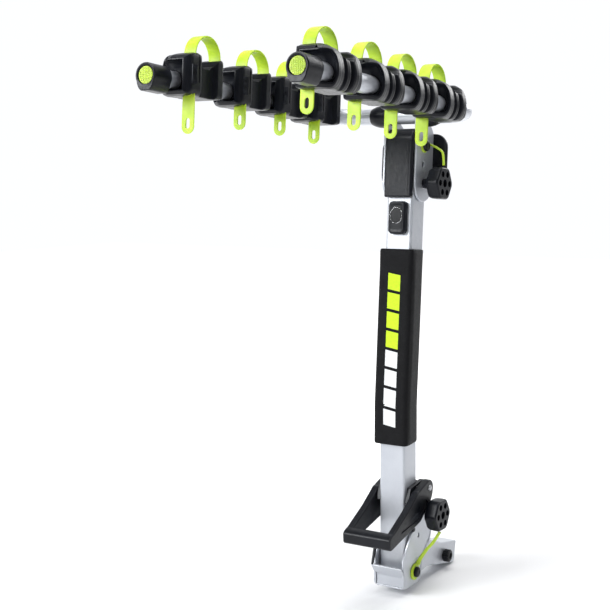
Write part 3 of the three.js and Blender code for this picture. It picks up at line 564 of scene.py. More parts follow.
def refined(node, name, edge, segments=3):
    """A copy of a solid with its doubles merged and its edges rounded, in metres."""
    piece = placed(name, frame["nodes"][node].data.copy())
    work = bmesh.new()
    work.from_mesh(piece.data)
    bmesh.ops.remove_doubles(work, verts=work.verts, dist=0.00001)
    bmesh.ops.dissolve_limit(work, angle_limit=math.radians(1.5), verts=work.verts, edges=work.edges)
    work.to_mesh(piece.data)
    work.free()
    return rounded(piece, edge * MM, segments)


KEEP = Matrix.Identity(4)

# %% [markdown]
# ## Mast
# The mast is one square tube, 60 by 58 mm, with a slight bend a third of the way up. It is a loft of a
# rounded square: up the outside, over the rim and down the inside, so the wall is real where the tube
# is open. The foot is cut to a round heel that turns in the yoke, and a slot lets the latch pin rise.

# %% Mast
mast_half, mast_front, mast_back = 30.0, -29.0, 29.0


def rounded_square(half, front, back, radius, steps=8):
    points = []
    for cx, cy, start in ((half - radius, front + radius, -90), (half - radius, back - radius, 0),
                          (radius - half, back - radius, 90), (radius - half, front + radius, 180)):
        for i in range(steps + 1):
            angle = math.radians(start + 90 * i / steps)
            points.append((cx + radius * math.cos(angle), cy + radius * math.sin(angle)))
    return points


def on_mast(section, height):
    """A section at a height above the tilt pivot: straight below the bend, mitred at it, leaning above it."""
    above = height - bend_height
    if above < 0:
        return [(x, y, height) for x, y in section]
    if above == 0:
        return [(x, y, bend_height - y * math.tan(lean / 2)) for x, y in section]
    return [(x, y * math.cos(lean) + above * math.sin(lean),
             bend_height + above * math.cos(lean) - y * math.sin(lean)) for x, y in section]


mast_top = bend_height + upper_length + 14
outside = rounded_square(mast_half, mast_front, mast_back, 5)
inside = rounded_square(mast_half - 3, mast_front + 3, mast_back - 3, 2.5)
heights = [-24, bend_height - 2, bend_height, bend_height + 2, mast_top]
mast = loft("mast_tube", [on_mast(outside, h) for h in heights]
            + [on_mast(inside, h) for h in reversed(heights)], ends="joined")
heel = Pen(-60, 0).line(pivot_behind_mast - 23.8, 0).arc(pivot_behind_mast, 0, 23.8, 180, 360, 32).line(60, 0)
heel.line(60, -60).line(-60, -60)
latch_slot = stadium(1, 95, 108, 5.3)
mast = cut(mast, slab("heel_cutter", heel.points, -60, 60, edge=0.01),
           slab("slot_cutter", latch_slot, -60, 60, edge=0.01),
           slab("pivot_cutter", circle(pivot_behind_mast, 0, 8.3), -60, 60, edge=0.01))
hand_over(mast, YOKE, SILVER, "mast_body", "frame_silver", "mast")
print("mast", round(mast_top), "mm above the tilt pivot")

# %% [markdown]
# ## Yoke
# Two crescent plates hold the mast's foot. They are laser-cut from 5 mm plate, so each is a slab with small
# rounded edges and real holes. A rolled rim stiffens the rear edge of each. The sloping wall in front, the
# floor and the small strut are copied from the solids and have their edges rounded.

# %% Yoke plates
yoke_inner, yoke_outer = 31.7, 36.7
knob_y, knob_z = 38.0, 125.0


def yoke_outline():
    pen = Pen(-30.5, -29).line(15, -29).bend(37, -27, 39, -8, 12).bend(43, 30, 74, 52, 14)
    pen.bend(86, 60, 86, 84, 10).bend(86, 118, 64, 140, 12).bend(44, 157, 22, 148, 12)
    pen.bend(9, 140, 8, 116, 10).line(6.3, 95).arc(1, 95, 5.3, 0, -90, 8).line(-7, 86)
    pen.line(-43.5, 36).line(-43.5, -15).bend(-43.5, -29, -30.5, -29, 8)
    return pen.points


def rim_path(side):
    x = side * (yoke_outer + 0.2)
    edge = [(33, -20), (37.5, -6), (45, 22), (58, 38), (74, 51), (83, 68), (83.5, 92)]
    return smooth_path([(x, y, z) for y, z in edge], 8)


for name, side in (("left", -1), ("right", 1)):
    holes = [circle(pivot_behind_mast, 0, 8.3, 40), circle(knob_y, knob_z, 6.3), circle(26, 76, 3.2, 20)]
    low, high = sorted((side * yoke_inner, side * yoke_outer))
    plate = slab(f"yoke_cheek_{name}", yoke_outline(), low, high, holes, edge=1.1)
    hand_over(plate, YOKE, SILVER, "base", "frame_silver", f"yoke_plate_{name}")
    rim = swept(f"yoke_rim_{name}", rim_path(side), lambda t: (1.5, 2.4), steps=16)
    hand_over(rim, YOKE, SILVER, "base", "frame_silver")

for node, name, edge, finish, slot in (("yoke_front_wall", "yoke_wall", 1.6, SILVER, "frame_silver"),
                                       ("yoke_floor", "yoke_base_plate", 0.8, SILVER, "frame_silver"),
                                       ("wall_strut", "small_strut", 1.4, LEVER_BLACK, "black_metal")):
    hand_over(refined(node, name, edge), KEEP, finish, "base", slot, node)
print("yoke pieces:", len(shown))

# %% [markdown]
# ## Shank
# The shank is a two inch square tube that slides into the receiver on the car. A cast neck joins it to
# the yoke and swells upwards. One loft makes both: rounded squares that change size and tilt on the way
# to the tube, then turn over the rim and go back inside, so that the open end shows its wall.

# %% Shank
droop = math.atan2(-frame["record"]["mounts"][0]["axis"][2], frame["record"]["mounts"][0]["axis"][1])
along = np.array((0, math.cos(droop), -math.sin(droop)))
upright = np.array((0, math.sin(droop), math.cos(droop)))
shank_start = np.array((0, 158.0, -4.0))
shank_length = 78.0


def shank_ring(centre, half_w, half_h, up, radius):
    return [tuple(np.array(centre) + np.array((x, 0, 0)) + np.array(up) * z)
            for x, z in rounded_square(half_w, -half_h, half_h, radius, 5)]


def neck_at(t):
    """The neck swells from the yoke, then narrows to the square tube."""
    keys = [(0.0, 34, 13, 27, 31.4), (0.15, 50, 16, 31, 31.4), (0.32, 68, 19, 33, 31.4),
            (0.5, 90, 17.5, 31, 29.8), (0.75, 122, 8, 28, 27), (1.0, 154, -3.2, 25.6, 25.6)]
    for (t0, *a), (t1, *b) in zip(keys, keys[1:]):
        if t <= t1:
            f = (t - t0) / (t1 - t0)
            return [p + (q - p) * f for p, q in zip(a, b)]


rings = []
for i in range(17):
    y, z, half_h, half_w = neck_at(i / 16)
    up = np.array((0, math.sin(droop * i / 16), math.cos(droop * i / 16)))
    rings.append(shank_ring((0, y, z), half_w, half_h, up, 6 - 3 * i / 16))
for distance in (0, shank_length - 1.2):
    rings.append(shank_ring(shank_start + along * distance, 25.4, 25.4, upright, 3))
end = shank_start + along * shank_length
rings.append(shank_ring(end, 24.6, 24.6, upright, 2.6))
rings.append(shank_ring(end, 21, 21, upright, 2.2))
rings.append(shank_ring(end - along * 1, 20.4, 20.4, upright, 2))
rings.append(shank_ring(end - along * (shank_length - 6), 20.4, 20.4, upright, 2))
shank = loft("shank_and_neck", rings)
bolt_at = shank_start + along * 20 - upright * 5
hand_over(shank, YOKE, SILVER, "base", "frame_silver", "hitch_shank", sharp=30)

# %% [markdown]
# A bolt goes through the shank and the receiver. Its ribbed cap is easy to grip. The ribs repeat round a
# circle, so Geometry Nodes set them: a circle of points, a block at each one turned outwards, and the
# finish at the end. The frame of such a tree is the same each time, so it is written once.

# %% A ring of ribs
class Tree:
    """A Geometry Nodes tree with named inputs, ready to set a block at each of a set of points."""

    def __init__(self, name, inputs):
        self.tree = bpy.data.node_groups.new(name, "GeometryNodeTree")
        self.tree.is_modifier = True
        for label, kind in (*inputs, ("Finish", "Material")):
            self.socket(label, "INPUT", kind)
        self.socket("Blocks", "OUTPUT", "Geometry")
        self.given = self.node("NodeGroupInput").outputs

    def socket(self, label, way, kind):
        self.tree.interface.new_socket(name=label, in_out=way, socket_type=f"NodeSocket{kind}")

    def node(self, kind, links=None, **settings):
        """A node with its settings, and an output linked to each named or numbered input."""
        made = self.tree.nodes.new(kind)
        for key, value in settings.items():
            setattr(made, key, value)
        for socket, output in (links or {}).items():
            self.tree.links.new(output, made.inputs[socket])
        return made

    def blocks(self, points, size, rotation=None):
        """Sets a block at each point, makes the instances real and gives them the finish."""
        block = self.node("GeometryNodeMeshCube", {"Size": self.given[size]})
        set_out = self.node("GeometryNodeInstanceOnPoints", {"Points": points, "Instance": block.outputs[0]})
        if rotation is not None:
            self.tree.links.new(rotation, set_out.inputs["Rotation"])
        real = self.node("GeometryNodeRealizeInstances", {0: set_out.outputs[0]})
        paint = self.node("GeometryNodeSetMaterial", {"Geometry": real.outputs[0],
                                                      "Material": self.given["Finish"]})
        self.node("NodeGroupOutput", {0: paint.outputs[0]})
        return self.tree


def ring_of_ribs():
    ring = Tree("ring_of_ribs", (("Ribs", "Int"), ("Radius", "Float"), ("Rib size", "Vector")))
    points = ring.node("GeometryNodeMeshCircle", {"Vertices": ring.given["Ribs"],
                                                  "Radius": ring.given["Radius"]})
    place = ring.node("GeometryNodeInputPosition").outputs[0]
    outward = ring.node("FunctionNodeAlignRotationToVector", {"Vector": place}, axis="X")
    return ring.blocks(points.outputs[0], "Rib size", outward.outputs[0])


def grown(name, tree, **settings):
    """Runs a node tree on an empty mesh and returns the plain result."""
    piece = new_piece(name, [], [])
    modifier = piece.modifiers.new("nodes", "NODES")
    modifier.node_group = tree
    for item in tree.interface.items_tree:
        key = item.name.replace(" ", "_").lower()
        if getattr(item, "in_out", "") == "INPUT" and key in settings:
            modifier[item.identifier] = settings[key]
    return bake(piece)


RIBS = ring_of_ribs()
bolt_centre = (bolt_at[1], bolt_at[2])
cap_start, cap_length, cap_radius = 25.7, 16.0, 12.8
cap_end = cap_start + cap_length
cap_profile = [(cap_start, 0), (cap_start, 11.5), (cap_start + 2, cap_radius), (cap_end - 2.5, cap_radius),
               (cap_end - 0.6, 11.8), (cap_end, 10.2), (cap_end, 7), (cap_end - 3, 6), (cap_end - 3, 0)]
cap = turned("hitch_cap_body", cap_profile, bolt_centre)
ribs = grown("hitch_cap_ribs", RIBS, ribs=12, radius=cap_radius, rib_size=(3.2, 3.4, cap_length - 3),
             finish=SATIN_BLACK)
ribs = rounded(ribs, 0.7, 2)
ribs.data.transform(Matrix.Translation((cap_start + cap_length / 2, *bolt_centre))
                    @ Matrix.Rotation(math.pi / 2, 4, "Y"))
hand_over(combine("hitch_cap", cap, ribs), YOKE, SATIN_BLACK, "hitch_knob", "black_plastic",
          "hitch_bolt_knob")
bolt_profile = [(-33.4, 0), (-33.4, 9.6), (-32, 11), (-27, 11), (-25.7, 10.4), (-25.7, 6), (37.4, 6), (37.4, 0)]
head_bolt = turned("hitch_bolt_shaft", bolt_profile, bolt_centre)
hand_over(head_bolt, YOKE, STEEL, "base", "bare_steel", "hitch_bolt")

# %% [markdown]
# ## Knobs
# Two large hand knobs clamp the mast and the arms. Each has six broad flats with round corners between them,
# a flat face and deep round recesses where the moulding is cored out. The outline comes from one rule:
# the smaller of a circle and a hexagon, blended where they meet.

# %% Lobed knobs
def knob_radius(angle, phase):
    """Flats of a hexagon that melt into a circle at the corners."""
    sixth = math.pi / 3
    off = (angle - phase + sixth / 2) % sixth - sixth / 2
    return soft_min(36.3, 33.3 / math.cos(off), 0.5)


def lobed_knob(name, x, y, z, neck_from, phase, body, node):
    thick, steps = 30.0, 144
    profile = [(0, 0.55), (0, 0.84), (1.2, 0.90), (4.5, 0.955), (9, 0.985), (20, 1.0), (26, 0.998),
               (28, 0.985), (29.2, 0.955), (29.8, 0.925), (thick, 0.89), (thick, 0.30)]
    angles = [2 * math.pi * i / steps for i in range(steps)]
    rings = [[(x + depth, y + knob_radius(a, phase) * share * math.cos(a),
               z + knob_radius(a, phase) * share * math.sin(a)) for a in angles] for depth, share in profile]
    knob = loft(name, rings)
    recesses = [slab("recess", circle(y + 21.5 * math.cos(phase + k * math.pi / 3 + math.pi / 6),
                                      z + 21.5 * math.sin(phase + k * math.pi / 3 + math.pi / 6), 6.6, 28),
                     x + thick - 14, x + thick + 4, edge=0.01) for k in range(6)]
    middle = slab("recess", circle(y, z, 8.5, 32), x + thick - 9, x + thick + 4, edge=0.01)
    knob = cut(knob, *recesses, middle)
    neck = turned("neck", [(neck_from, 0), (neck_from, 10), (x - 1, 14), (x + 2, 16), (x + 2, 0)], (y, z))
    boss = turned("boss", [(x + thick + d, r) for d, r in
                           ((-9.2, 0), (-9.2, 5), (-6.5, 5), (-5.8, 4.2), (-5.8, 0))], (y, z))
    where = YOKE if body == "lower_knob_body" else HEAD
    hand_over(combine(name, knob, neck, boss), where, CHARCOAL, body, "black_plastic", node)


lobed_knob("clamp_knob_lower", 60, knob_y, knob_z, 57.6, -math.pi / 2, "lower_knob_body", "lower_knob")
lobed_knob("clamp_knob_upper", 57, 7, -79, 37.7, math.pi / 2, "upper_knob_body", "upper_knob")
lock_pin = turned("clamp_pin_lower", [(-42.7, 0), (-42.7, 4.8), (-41.5, 6), (68, 6), (68, 0)],
                  (knob_y, knob_z))
hand_over(lock_pin, YOKE, STEEL, "lower_pin", "bare_steel", "lower_lock_pin")
stud = turned("clamp_stud_upper", [(30.3, 0), (30.3, 6), (66, 6), (66, 0)], (7, -79))
hand_over(stud, HEAD, STEEL, "upper_stud_body", "bare_steel", "upper_lock_stud")

# %% [markdown]
# ## Pivot bolts, caps and tethers
# Each pivot bolt has a plain head on the left and a domed black cap on the right. Between the cap and the
# plate is the eye of a lime rubber tether, which runs to the knob so that it can't be lost. Both ends are
# held, so the tether keeps the route of its solid. The eye is a turned ring with a soft lip.

# %% Pivot bolts and tethers
def pivot_set(where, y, z, bolt_radius, eye_radius, route, half_width, body, words):
    plate, r, e = yoke_outer, bolt_radius, eye_radius
    head = [(-plate - 7, 0), (-plate - 7, r + 2.6), (-plate - 5.6, r + 4), (-plate - 0.3, r + 4)]
    bolt = turned(f"{words}_bolt", [*head, (-plate - 0.3, r), (plate + 6, r), (plate + 6, 0)], (y, z))
    hand_over(bolt, where, STEEL, body, "bare_steel", f"{words}_pivot_bolt")
    dome = ((4.9, 0), (4.9, 11.5), (8, 11.5), (10, 10.8), (11.3, 9), (11.9, 6.5), (11.9, 4.2), (11.2, 3.6),
            (11.2, 0))
    cap = turned(f"{words}_cap", [(plate + d, size) for d, size in dome], (y, z))
    hand_over(cap, where, SATIN_BLACK, body, "black_plastic", f"{words}_pivot_cap")
    lip = ((0.3, r + 0.3), (0.3, e - 0.8), (1.1, e), (3.2, e), (4.1, e - 0.9), (4.3, e - 2), (4.3, r + 0.3))
    eye = turned(f"{words}_eye", [(plate + d, size) for d, size in lip], (y, z), 56)
    band = swept(f"{words}_band", smooth_path(route, 12), half_width, across=(0.5, 0.85, 0), steps=20,
                 power=2.4)
    tether = combine(f"{words}_strap_tether", eye, band)
    hand_over(tether, where, LIME, body, "lime_rubber", f"{words}_tether")


lower_route = [(40.3, 14.5, 13.5), (42.7, 21, 24), (53.7, 30, 44), (67.7, 35, 62), (82, 38, 86.4)]
upper_route = [(39.7, 13, 5.5), (42.7, 18, 4.5), (58.7, 21, -3), (72.7, 19, -14), (81, 10, -40.6)]
pivot_set(YOKE, pivot_behind_mast, 0, 8, 18, lower_route, lambda t: (5.6 - 1.6 * t, 2.2), "base", "lower")
pivot_set(HEAD, 0, 0, 7, 14.5, upper_route, lambda t: (2.6, 2.2), "arms", "upper")

# %% [markdown]
# ## Release lever
# The lever is a U in black paint: two deep arms and a bar in front of the mast. Pulling the bar up lifts the
# latch pin out of the yoke. Each arm is a slab with soft edges, the bar is another, and the three are joined
# into one skin. A shallow pocket on each arm's outside thins it towards the pivot.

# %% Release lever
lever_inner, lever_outer = 40.6, 56.6
pivot_y, pivot_z = 40.0, 181.0
bar_y, bar_z = -128.0, 103.0


def lever_arm():
    pen = Pen(bar_y - 13, bar_z - 10).bend(bar_y - 11, bar_z - 17, bar_y - 3, bar_z - 16)
    pen.line(-4, 115).bend(2, 117, 14, 127).line(44, 149).bend(58, 162, 58, pivot_z)
    pen.arc(pivot_y, pivot_z, 18, 0, 112).line(-8, 184).bend(-14, 184, -20, 178).line(-60, 152)
    pen.line(bar_y + 6, bar_z + 17).bend(bar_y - 12, bar_z + 13, bar_y - 14, bar_z + 5)
    return pen.points


def lever_bar():
    pen = Pen(bar_y - 13, bar_z - 10).bend(bar_y - 11, bar_z - 17, bar_y - 3, bar_z - 16)
    pen.line(bar_y + 10, bar_z - 12.5).bend(bar_y + 13, bar_z - 11, bar_y + 12, bar_z - 8)
    pen.line(bar_y + 10, bar_z + 15).line(bar_y + 4, bar_z + 16)
    pen.bend(bar_y - 12, bar_z + 13, bar_y - 14, bar_z + 5)
    return pen.points


right_arm = slab("lever_arm", lever_arm(), lever_inner, lever_outer, edge=2.6)
left_arm = slab("lever_arm", lever_arm(), -lever_outer, -lever_inner, edge=2.6)
bar = slab("lever_bar", lever_bar(), -lever_outer + 0.3, lever_outer - 0.3, edge=2.6)
pocket = Pen(-92, 112).line(-6, 124).line(34, 152).line(22, 160).line(-20, 146).line(-88, 118).points
lever = cut(bar, right_arm, left_arm, operation="UNION")
lever = cut(lever, slab("pocket", pocket, lever_outer - 2.2, lever_outer + 3, edge=0.01),
            slab("pocket", pocket, -lever_outer - 3, 2.2 - lever_outer, edge=0.01),
            slab("step", [(-24, 138), (-3, 138), (-3, 150), (-24, 150)], lever_outer - 2.8, lever_outer + 3,
                 edge=0.01))
lever.name = "release_lever_body"
hand_over(lever, YOKE, LEVER_BLACK, "lever", "black_metal", "lever_handle", sharp=30)

# %% [markdown]
# The lever turns on a pin through a folded bracket round the mast. The bracket is a copy of its solid with
# rounded edges, and two bright rivets hold it on each side. The latch pin is a short bar with chamfered ends.

# %% Bracket, pin and rivets
hand_over(refined("lever_bracket", "lever_bracket_shell", 1.2), KEEP, LEVER_BLACK, "mast_body", "black_metal",
          "lever_bracket")
pin_end = [(56.9, 4), (56.9, 6.5), (57, 6.5), (58.4, 6), (59.6, 4), (59.6, 0)]
pin = turned("lever_pin", [(-d, r) for d, r in reversed(pin_end)] + pin_end, (pivot_y, pivot_z))
hand_over(pin, YOKE, STEEL, "mast_body", "bare_steel", "lever_pivot_pin")
latch = turned("latch_bar", [(-39.7, 0), (-39.7, 4), (-38.7, 5), (38.7, 5), (39.7, 4), (39.7, 0)], (1, 95))
hand_over(latch, YOKE, LEVER_BLACK, "latch", "black_metal", "latch_pin")
for name, side in arm_side.items():
    for count, (y, z) in enumerate(((2, 172), (14, 186)), 1):
        at = side * 39.4
        dome = ((0, 0), (0, 3.4), (0.5, 3.3), (1.0, 2.4), (1.15, 1.0), (1.15, 0))
        rivet = turned(f"bracket_rivet_{name}_{count}", [(at + side * d, r) for d, r in dome], (y, z), 24)
        hand_over(rivet, YOKE, STEEL, "mast_body", "bare_steel")

# %% [markdown]
# ## Foam sleeve
# The sleeve is a strip of foam wrapped round the mast so that bikes don't touch the steel. It is thick in
# front and thin behind. The outer skin is a fine grid that goes through a short cloth simulation with air
# pressure inside: its ends and its back are pinned, so the front swells and its corners go soft. The swell
# is capped. The skin is then closed with turned-in ends and an inner wall.

# %% Sleeve skin grid
sleeve_low, sleeve_high = 285.0, bend_height + 335.0
sleeve_thick = 11.0


def sleeve_section(grow):
    half, back_half = mast_half + sleeve_thick - 0.6 + grow, mast_half + 2.3
    base = rounded_square(half, mast_front - sleeve_thick + 0.6 - grow, mast_back + 2, 8, 5)
    points = []
    for (x0, y0), (x1, y1) in zip(base, base[1:] + base[:1]):
        parts = max(1, round(math.dist((x0, y0), (x1, y1)) / 4.5))
        points += [(x0 + (x1 - x0) * k / parts, y0 + (y1 - y0) * k / parts) for k in range(parts)]
    narrowed = []
    for x, y in points:
        back = min(1, max(0, (y - mast_front - 6) / (mast_back - mast_front - 6)))
        narrowed.append((x * (1 - back * (1 - back_half / half)), y))
    return narrowed


levels = [sleeve_low + (sleeve_high - sleeve_low) * i / 96 for i in range(97)]
skin_rings = []
for level in levels:
    edge = min(level - sleeve_low, sleeve_high - level)
    grow = -0.8 * math.exp(-(edge / 2.5) ** 2)
    if abs(level - bend_height) < 0.5:
        level = bend_height
    skin_rings.append(on_mast(sleeve_section(grow), level))
ring_size = len(skin_rings[0])
skin = loft("sleeve_foam", skin_rings, ends="open")
skin.data.transform(YOKE)
start = np.array([v.co for v in skin.data.vertices])
print("sleeve skin:", len(start), "points,", ring_size, "round")

# %% Swell the sleeve
def swell(piece, pinned, frames=16, cap=0.0007):
    group = piece.vertex_groups.new(name="held")
    group.add(pinned, 1.0, "REPLACE")
    cloth = piece.modifiers.new("cloth", "CLOTH")
    settings = cloth.settings
    settings.quality = 4
    settings.mass = 0.25
    settings.tension_stiffness = settings.compression_stiffness = 18
    settings.shear_stiffness = 8
    settings.bending_stiffness = 2
    settings.use_pressure = True
    settings.uniform_pressure_force = 3.5
    settings.effector_weights.gravity = 0
    settings.vertex_group_mass = "held"
    scene = bpy.context.scene
    for number in range(1, frames + 1):
        scene.frame_set(number)
    bpy.context.view_layer.update()
    moved = piece.evaluated_get(bpy.context.evaluated_depsgraph_get())
    result = np.array([v.co for v in moved.data.vertices])
    piece.modifiers.clear()
    piece.vertex_groups.clear()
    scene.frame_set(1)
    step = result - start
    length = np.linalg.norm(step, axis=1, keepdims=True)
    step *= np.minimum(1, cap / np.maximum(length, 1e-9))
    piece.data.vertices.foreach_set("co", (start + step).astype(np.float32).ravel())
    piece.data.update()
    return float(length.max()), float(np.linalg.norm(step, axis=1).max())


held = [i for i in range(len(start)) if i < ring_size * 2 or i >= len(start) - ring_size * 2]
level_of = (start[:, 2] - foot.z) / MM
leaning = np.maximum(0, level_of - bend_height) * math.tan(lean)
held += [i for i in range(len(start)) if (start[i, 1] - foot.y) / MM - leaning[i] > mast_back - 3]
print("swell, and after the cap, in metres:", swell(skin, sorted(set(held))))

# %% Close the sleeve
outer = [tuple(v.co) for v in skin.data.vertices]
ordered = [outer[k * ring_size:(k + 1) * ring_size] for k in range(len(levels))]


def match_ring(level):
    """Points on the mast's surface, each in line with a point of the outer skin."""
    section = sleeve_section(0)
    points = []
    for x, y in section:
        reach = max(abs(x) / (mast_half + 0.4), abs(y) / (mast_back + 0.4))
        points.append((x / reach, y / reach))
    return [tuple(YOKE @ Vector(p)) for p in on_mast(points, level)]


def between(first, second, share):
    return [tuple(Vector(a).lerp(Vector(b), share)) for a, b in zip(first, second)]


low_in, high_in = match_ring(sleeve_low), match_ring(sleeve_high)
low_inside, high_inside = match_ring(sleeve_low + 3), match_ring(sleeve_high - 3)
closed = [between(low_in, ordered[0], 0.94), *ordered,
          between(high_in, ordered[-1], 0.94), between(high_in, ordered[-1], 0.5), high_in, high_inside,
          match_ring(bend_height), low_inside, low_in, between(low_in, ordered[0], 0.5)]
bpy.data.objects.remove(skin)
sleeve = loft("padded_sleeve", closed, ends="joined")
smooth_skin = sleeve.modifiers.new("smooth", "SUBSURF")
smooth_skin.levels = smooth_skin.render_levels = 1
sleeve = bake(sleeve)
to_mast = MAST.inverted()
spots = np.zeros((len(sleeve.data.vertices), 3), np.float32)
for i, v in enumerate(sleeve.data.vertices):
    local = to_mast @ v.co
    lower = YOKE.inverted() @ v.co
    above = local.z > 0
    spots[i] = (lower.x, local.z if above else lower.z - bend_height, -(local.y if above else lower.y))
place = sleeve.data.attributes.new("on_sleeve", "FLOAT_VECTOR", "POINT")
place.data.foreach_set("vector", spots.ravel())
hand_over(sleeve, KEEP, SLEEVE, "mast_body", "sleeve_foam", "foam_sleeve", sharp=60)
print("sleeve:", len(sleeve.data.polygons), "faces")

# %% [markdown]
# ## Badge
# A black block on the mast's front carries an oval badge. Here the badge is a plain dark oval with a
# polished rim. The block's front edge is rounded by a few shrinking rings.

# %% Badge
badge_at = 401.0


def badge_ring(grow, depth, radius=9):
    face = mast_front - 0.3
    return [(x, face - depth, badge_at + z) for x, z in
            rounded_square(20 - grow, -35 + grow, 35 - grow, max(radius - grow * 0.5, 2), 8)]


block = loft("badge_pad", [badge_ring(grow, depth) for grow, depth in (
    (0, 0), (0, 8.6), (0.5, 10.6), (1.5, 12), (3, 12.8), (5, 13), (8, 12.4), (10, 12.2))])
hand_over(block, MAST, CHARCOAL, "mast_body", "black_plastic", "badge_block")


def oval(half_w, half_h, steps=64):
    angles = [2 * math.pi * i / steps for i in range(steps)]
    return [(half_w * math.cos(a), badge_at + 5 + half_h * math.sin(a)) for a in angles]


rim = slab("badge_ring", oval(14, 17), 42.0, 44.1, [oval(12.7, 15.7)], edge=0.5, facing=FRONT)
hand_over(rim, MAST, CHROME, "mast_body", "chrome_trim", "badge_rim")
disc = slab("badge_oval", oval(12.6, 15.6), 40.8, 43.2, edge=0.5, facing=FRONT)
hand_over(disc, MAST, SATIN_BLACK, "mast_body", "black_plastic")

# %% [markdown]
# ## Head
# A charcoal cover wraps the mast's top, with a large radius at its front edge. Two silver plates turn with
# the arms on the pivot bolt. A rounded cover behind joins them, and a crescent cover hides the bolt's head
# on the left. All are slabs and lofts with edges of their own radius.

# %% Head cover and plates
cover = Pen(-43, -107).bend(-43, -111, -39, -111, 4).line(-29.3, -111).line(-29.3, 14.3)
cover.line(30, 14.3).line(30, 19).bend(30, 35, 14, 35).line(-18, 35).arc(-18, 10, 25, 90, 180, 20)
shell = slab("head_shell", cover.points, -31.4, 31.4, edge=3.0)
seam_outline = ((24.2, -44), (25.2, -44), (25.2, -42.4), (24.2, -42.4))
shell = cut(shell, loft("seam", [[(x, y, z) for x, y in seam_outline] for z in (-105, 8)]))
hand_over(shell, HEAD, CHARCOAL, "mast_body", "black_plastic", "head_cover", sharp=30)


def head_plate(front):
    pen = Pen(front, -79)
    for i in range(1, 20):
        angle = math.pi * (1 + i / 40)
        pen.line(7 + (7 - front) * math.cos(angle), -79 + 39 * math.sin(angle))
    pen.arc(7, -79, 39, 270, 360, 20).line(46, 26).bend(44, 40, 16, 54, 10)
    pen.arc(cross_y, cross_z, 24, 0, 180, 24).line(front, 24)
    return pen.points


for name, side in (("left", -1), ("right", 1)):
    low, high = sorted((side * yoke_inner, side * yoke_outer))
    holes = [circle(cross_y, cross_z, 17.3, 40), circle(0, 0, 7.3), circle(7, -79, 6.3),
             circle(2, -39, 3.5, 24)]
    plate = slab(f"head_cheek_{name}", head_plate(-42 if side < 0 else -32), low, high, holes, edge=1.2)
    hand_over(plate, HEAD, SILVER, "arms", "frame_silver", f"head_plate_{name}")


# %% Rear and left covers
def cover_ring(half, low, high, radius, grow, y):
    return [(x * grow, y, z * grow) for x, z in rounded_square(half, low, high, radius, 8)]


back_from = 7 + 39 + 0.3
rear = loft("rear_shell", [cover_ring(68, -82, 30, 29, grow, back_from + depth) for grow, depth in (
    (0.93, 0), (0.985, 0.6), (1, 2.4), (1, 6.5), (0.985, 9.5), (0.955, 12), (0.91, 13.6), (0.86, 14),
    (0.5, 14))])
hand_over(rear, HEAD, CHARCOAL, "arms", "black_plastic", "rear_cover")


def side_ring(grow, x):
    section = [(y - 2, z) for y, z in rounded_square(26, -88, 14, 22, 8)]
    return [(x, y * grow, -37 + (z + 37) * grow) for y, z in section]


left_from = -yoke_outer - 0.3
left = loft("left_shell", [side_ring(grow, left_from - depth) for grow, depth in (
    (0.98, 0), (1, 0.8), (1, 4), (0.985, 7), (0.95, 9.4), (0.90, 11.2), (0.82, 12), (0.4, 12))])
hand_over(left, HEAD, CHARCOAL, "arms", "black_plastic", "left_cover")

# %% [markdown]
# ## Arms
# The arms and the cross tube between them are one tube, 34 mm across, bent twice. A sweep with plenty of
# steps round the bends keeps the highlight smooth. Domed collars sit on it beside the head plates.

# %% Arm tube and collars
arm_bend = 62
arm_path = [(arm_x, -658, 0)]
for i in range(25):
    angle = math.pi / 2 * i / 24
    arm_path.append((arm_x - arm_bend + arm_bend * math.cos(angle),
                     -arm_bend + arm_bend * math.sin(angle), 0))
arm_path += [(-x, y, z) for x, y, z in reversed(arm_path)]
tube = swept("arm_tube", arm_path, lambda t: (17, 17), across=(0, 0, 1), steps=48)
hand_over(tube, ARMS, SILVER, "arms", "frame_silver", "arm_frame")
collar_from = 37.0
collar = [(0, 17.2), (0, 22.5), (1.2, 24), (16, 24), (24, 23.4), (31, 21.8), (37, 19.6), (41, 18), (42, 17.2)]
for name, side in arm_side.items():
    ring = turned(f"cross_collar_{name}", [(side * (collar_from + d), r) for d, r in collar], (0, 0), 56)
    hand_over(ring, ARMS, CHARCOAL, "arms", "black_plastic", f"collar_{name}")

# %% [markdown]
# ## End caps
# Each arm ends in a charcoal cap with a flat chin. A lime insert sits in its rim. The insert's face is a
# waffle of small squares, which Geometry Nodes lay on a grid and trim to the circle.

# %% End caps
def cap_outline(grow=0.0):
    pen = Pen((22 - grow) * math.cos(math.radians(-28)), (22 - grow) * math.sin(math.radians(-28)))
    pen.arc(0, 0, 22 - grow, -28, 208, 44)
    pen.bend(-16, -24 + grow, -9, -27 + grow, 8).line(9, -27 + grow)
    pen.bend(16, -24 + grow, *pen.points[0], 8)
    return pen.points[1:-1]


def cap_ring(grow, y, circle_share=0.0, radius=0.0):
    ring = []
    for x, z in cap_outline(grow):
        angle = math.atan2(z, x)
        round_x, round_z = radius * math.cos(angle), radius * math.sin(angle)
        ring.append((x + (round_x - x) * circle_share, y, z + (round_z - z) * circle_share))
    return ring


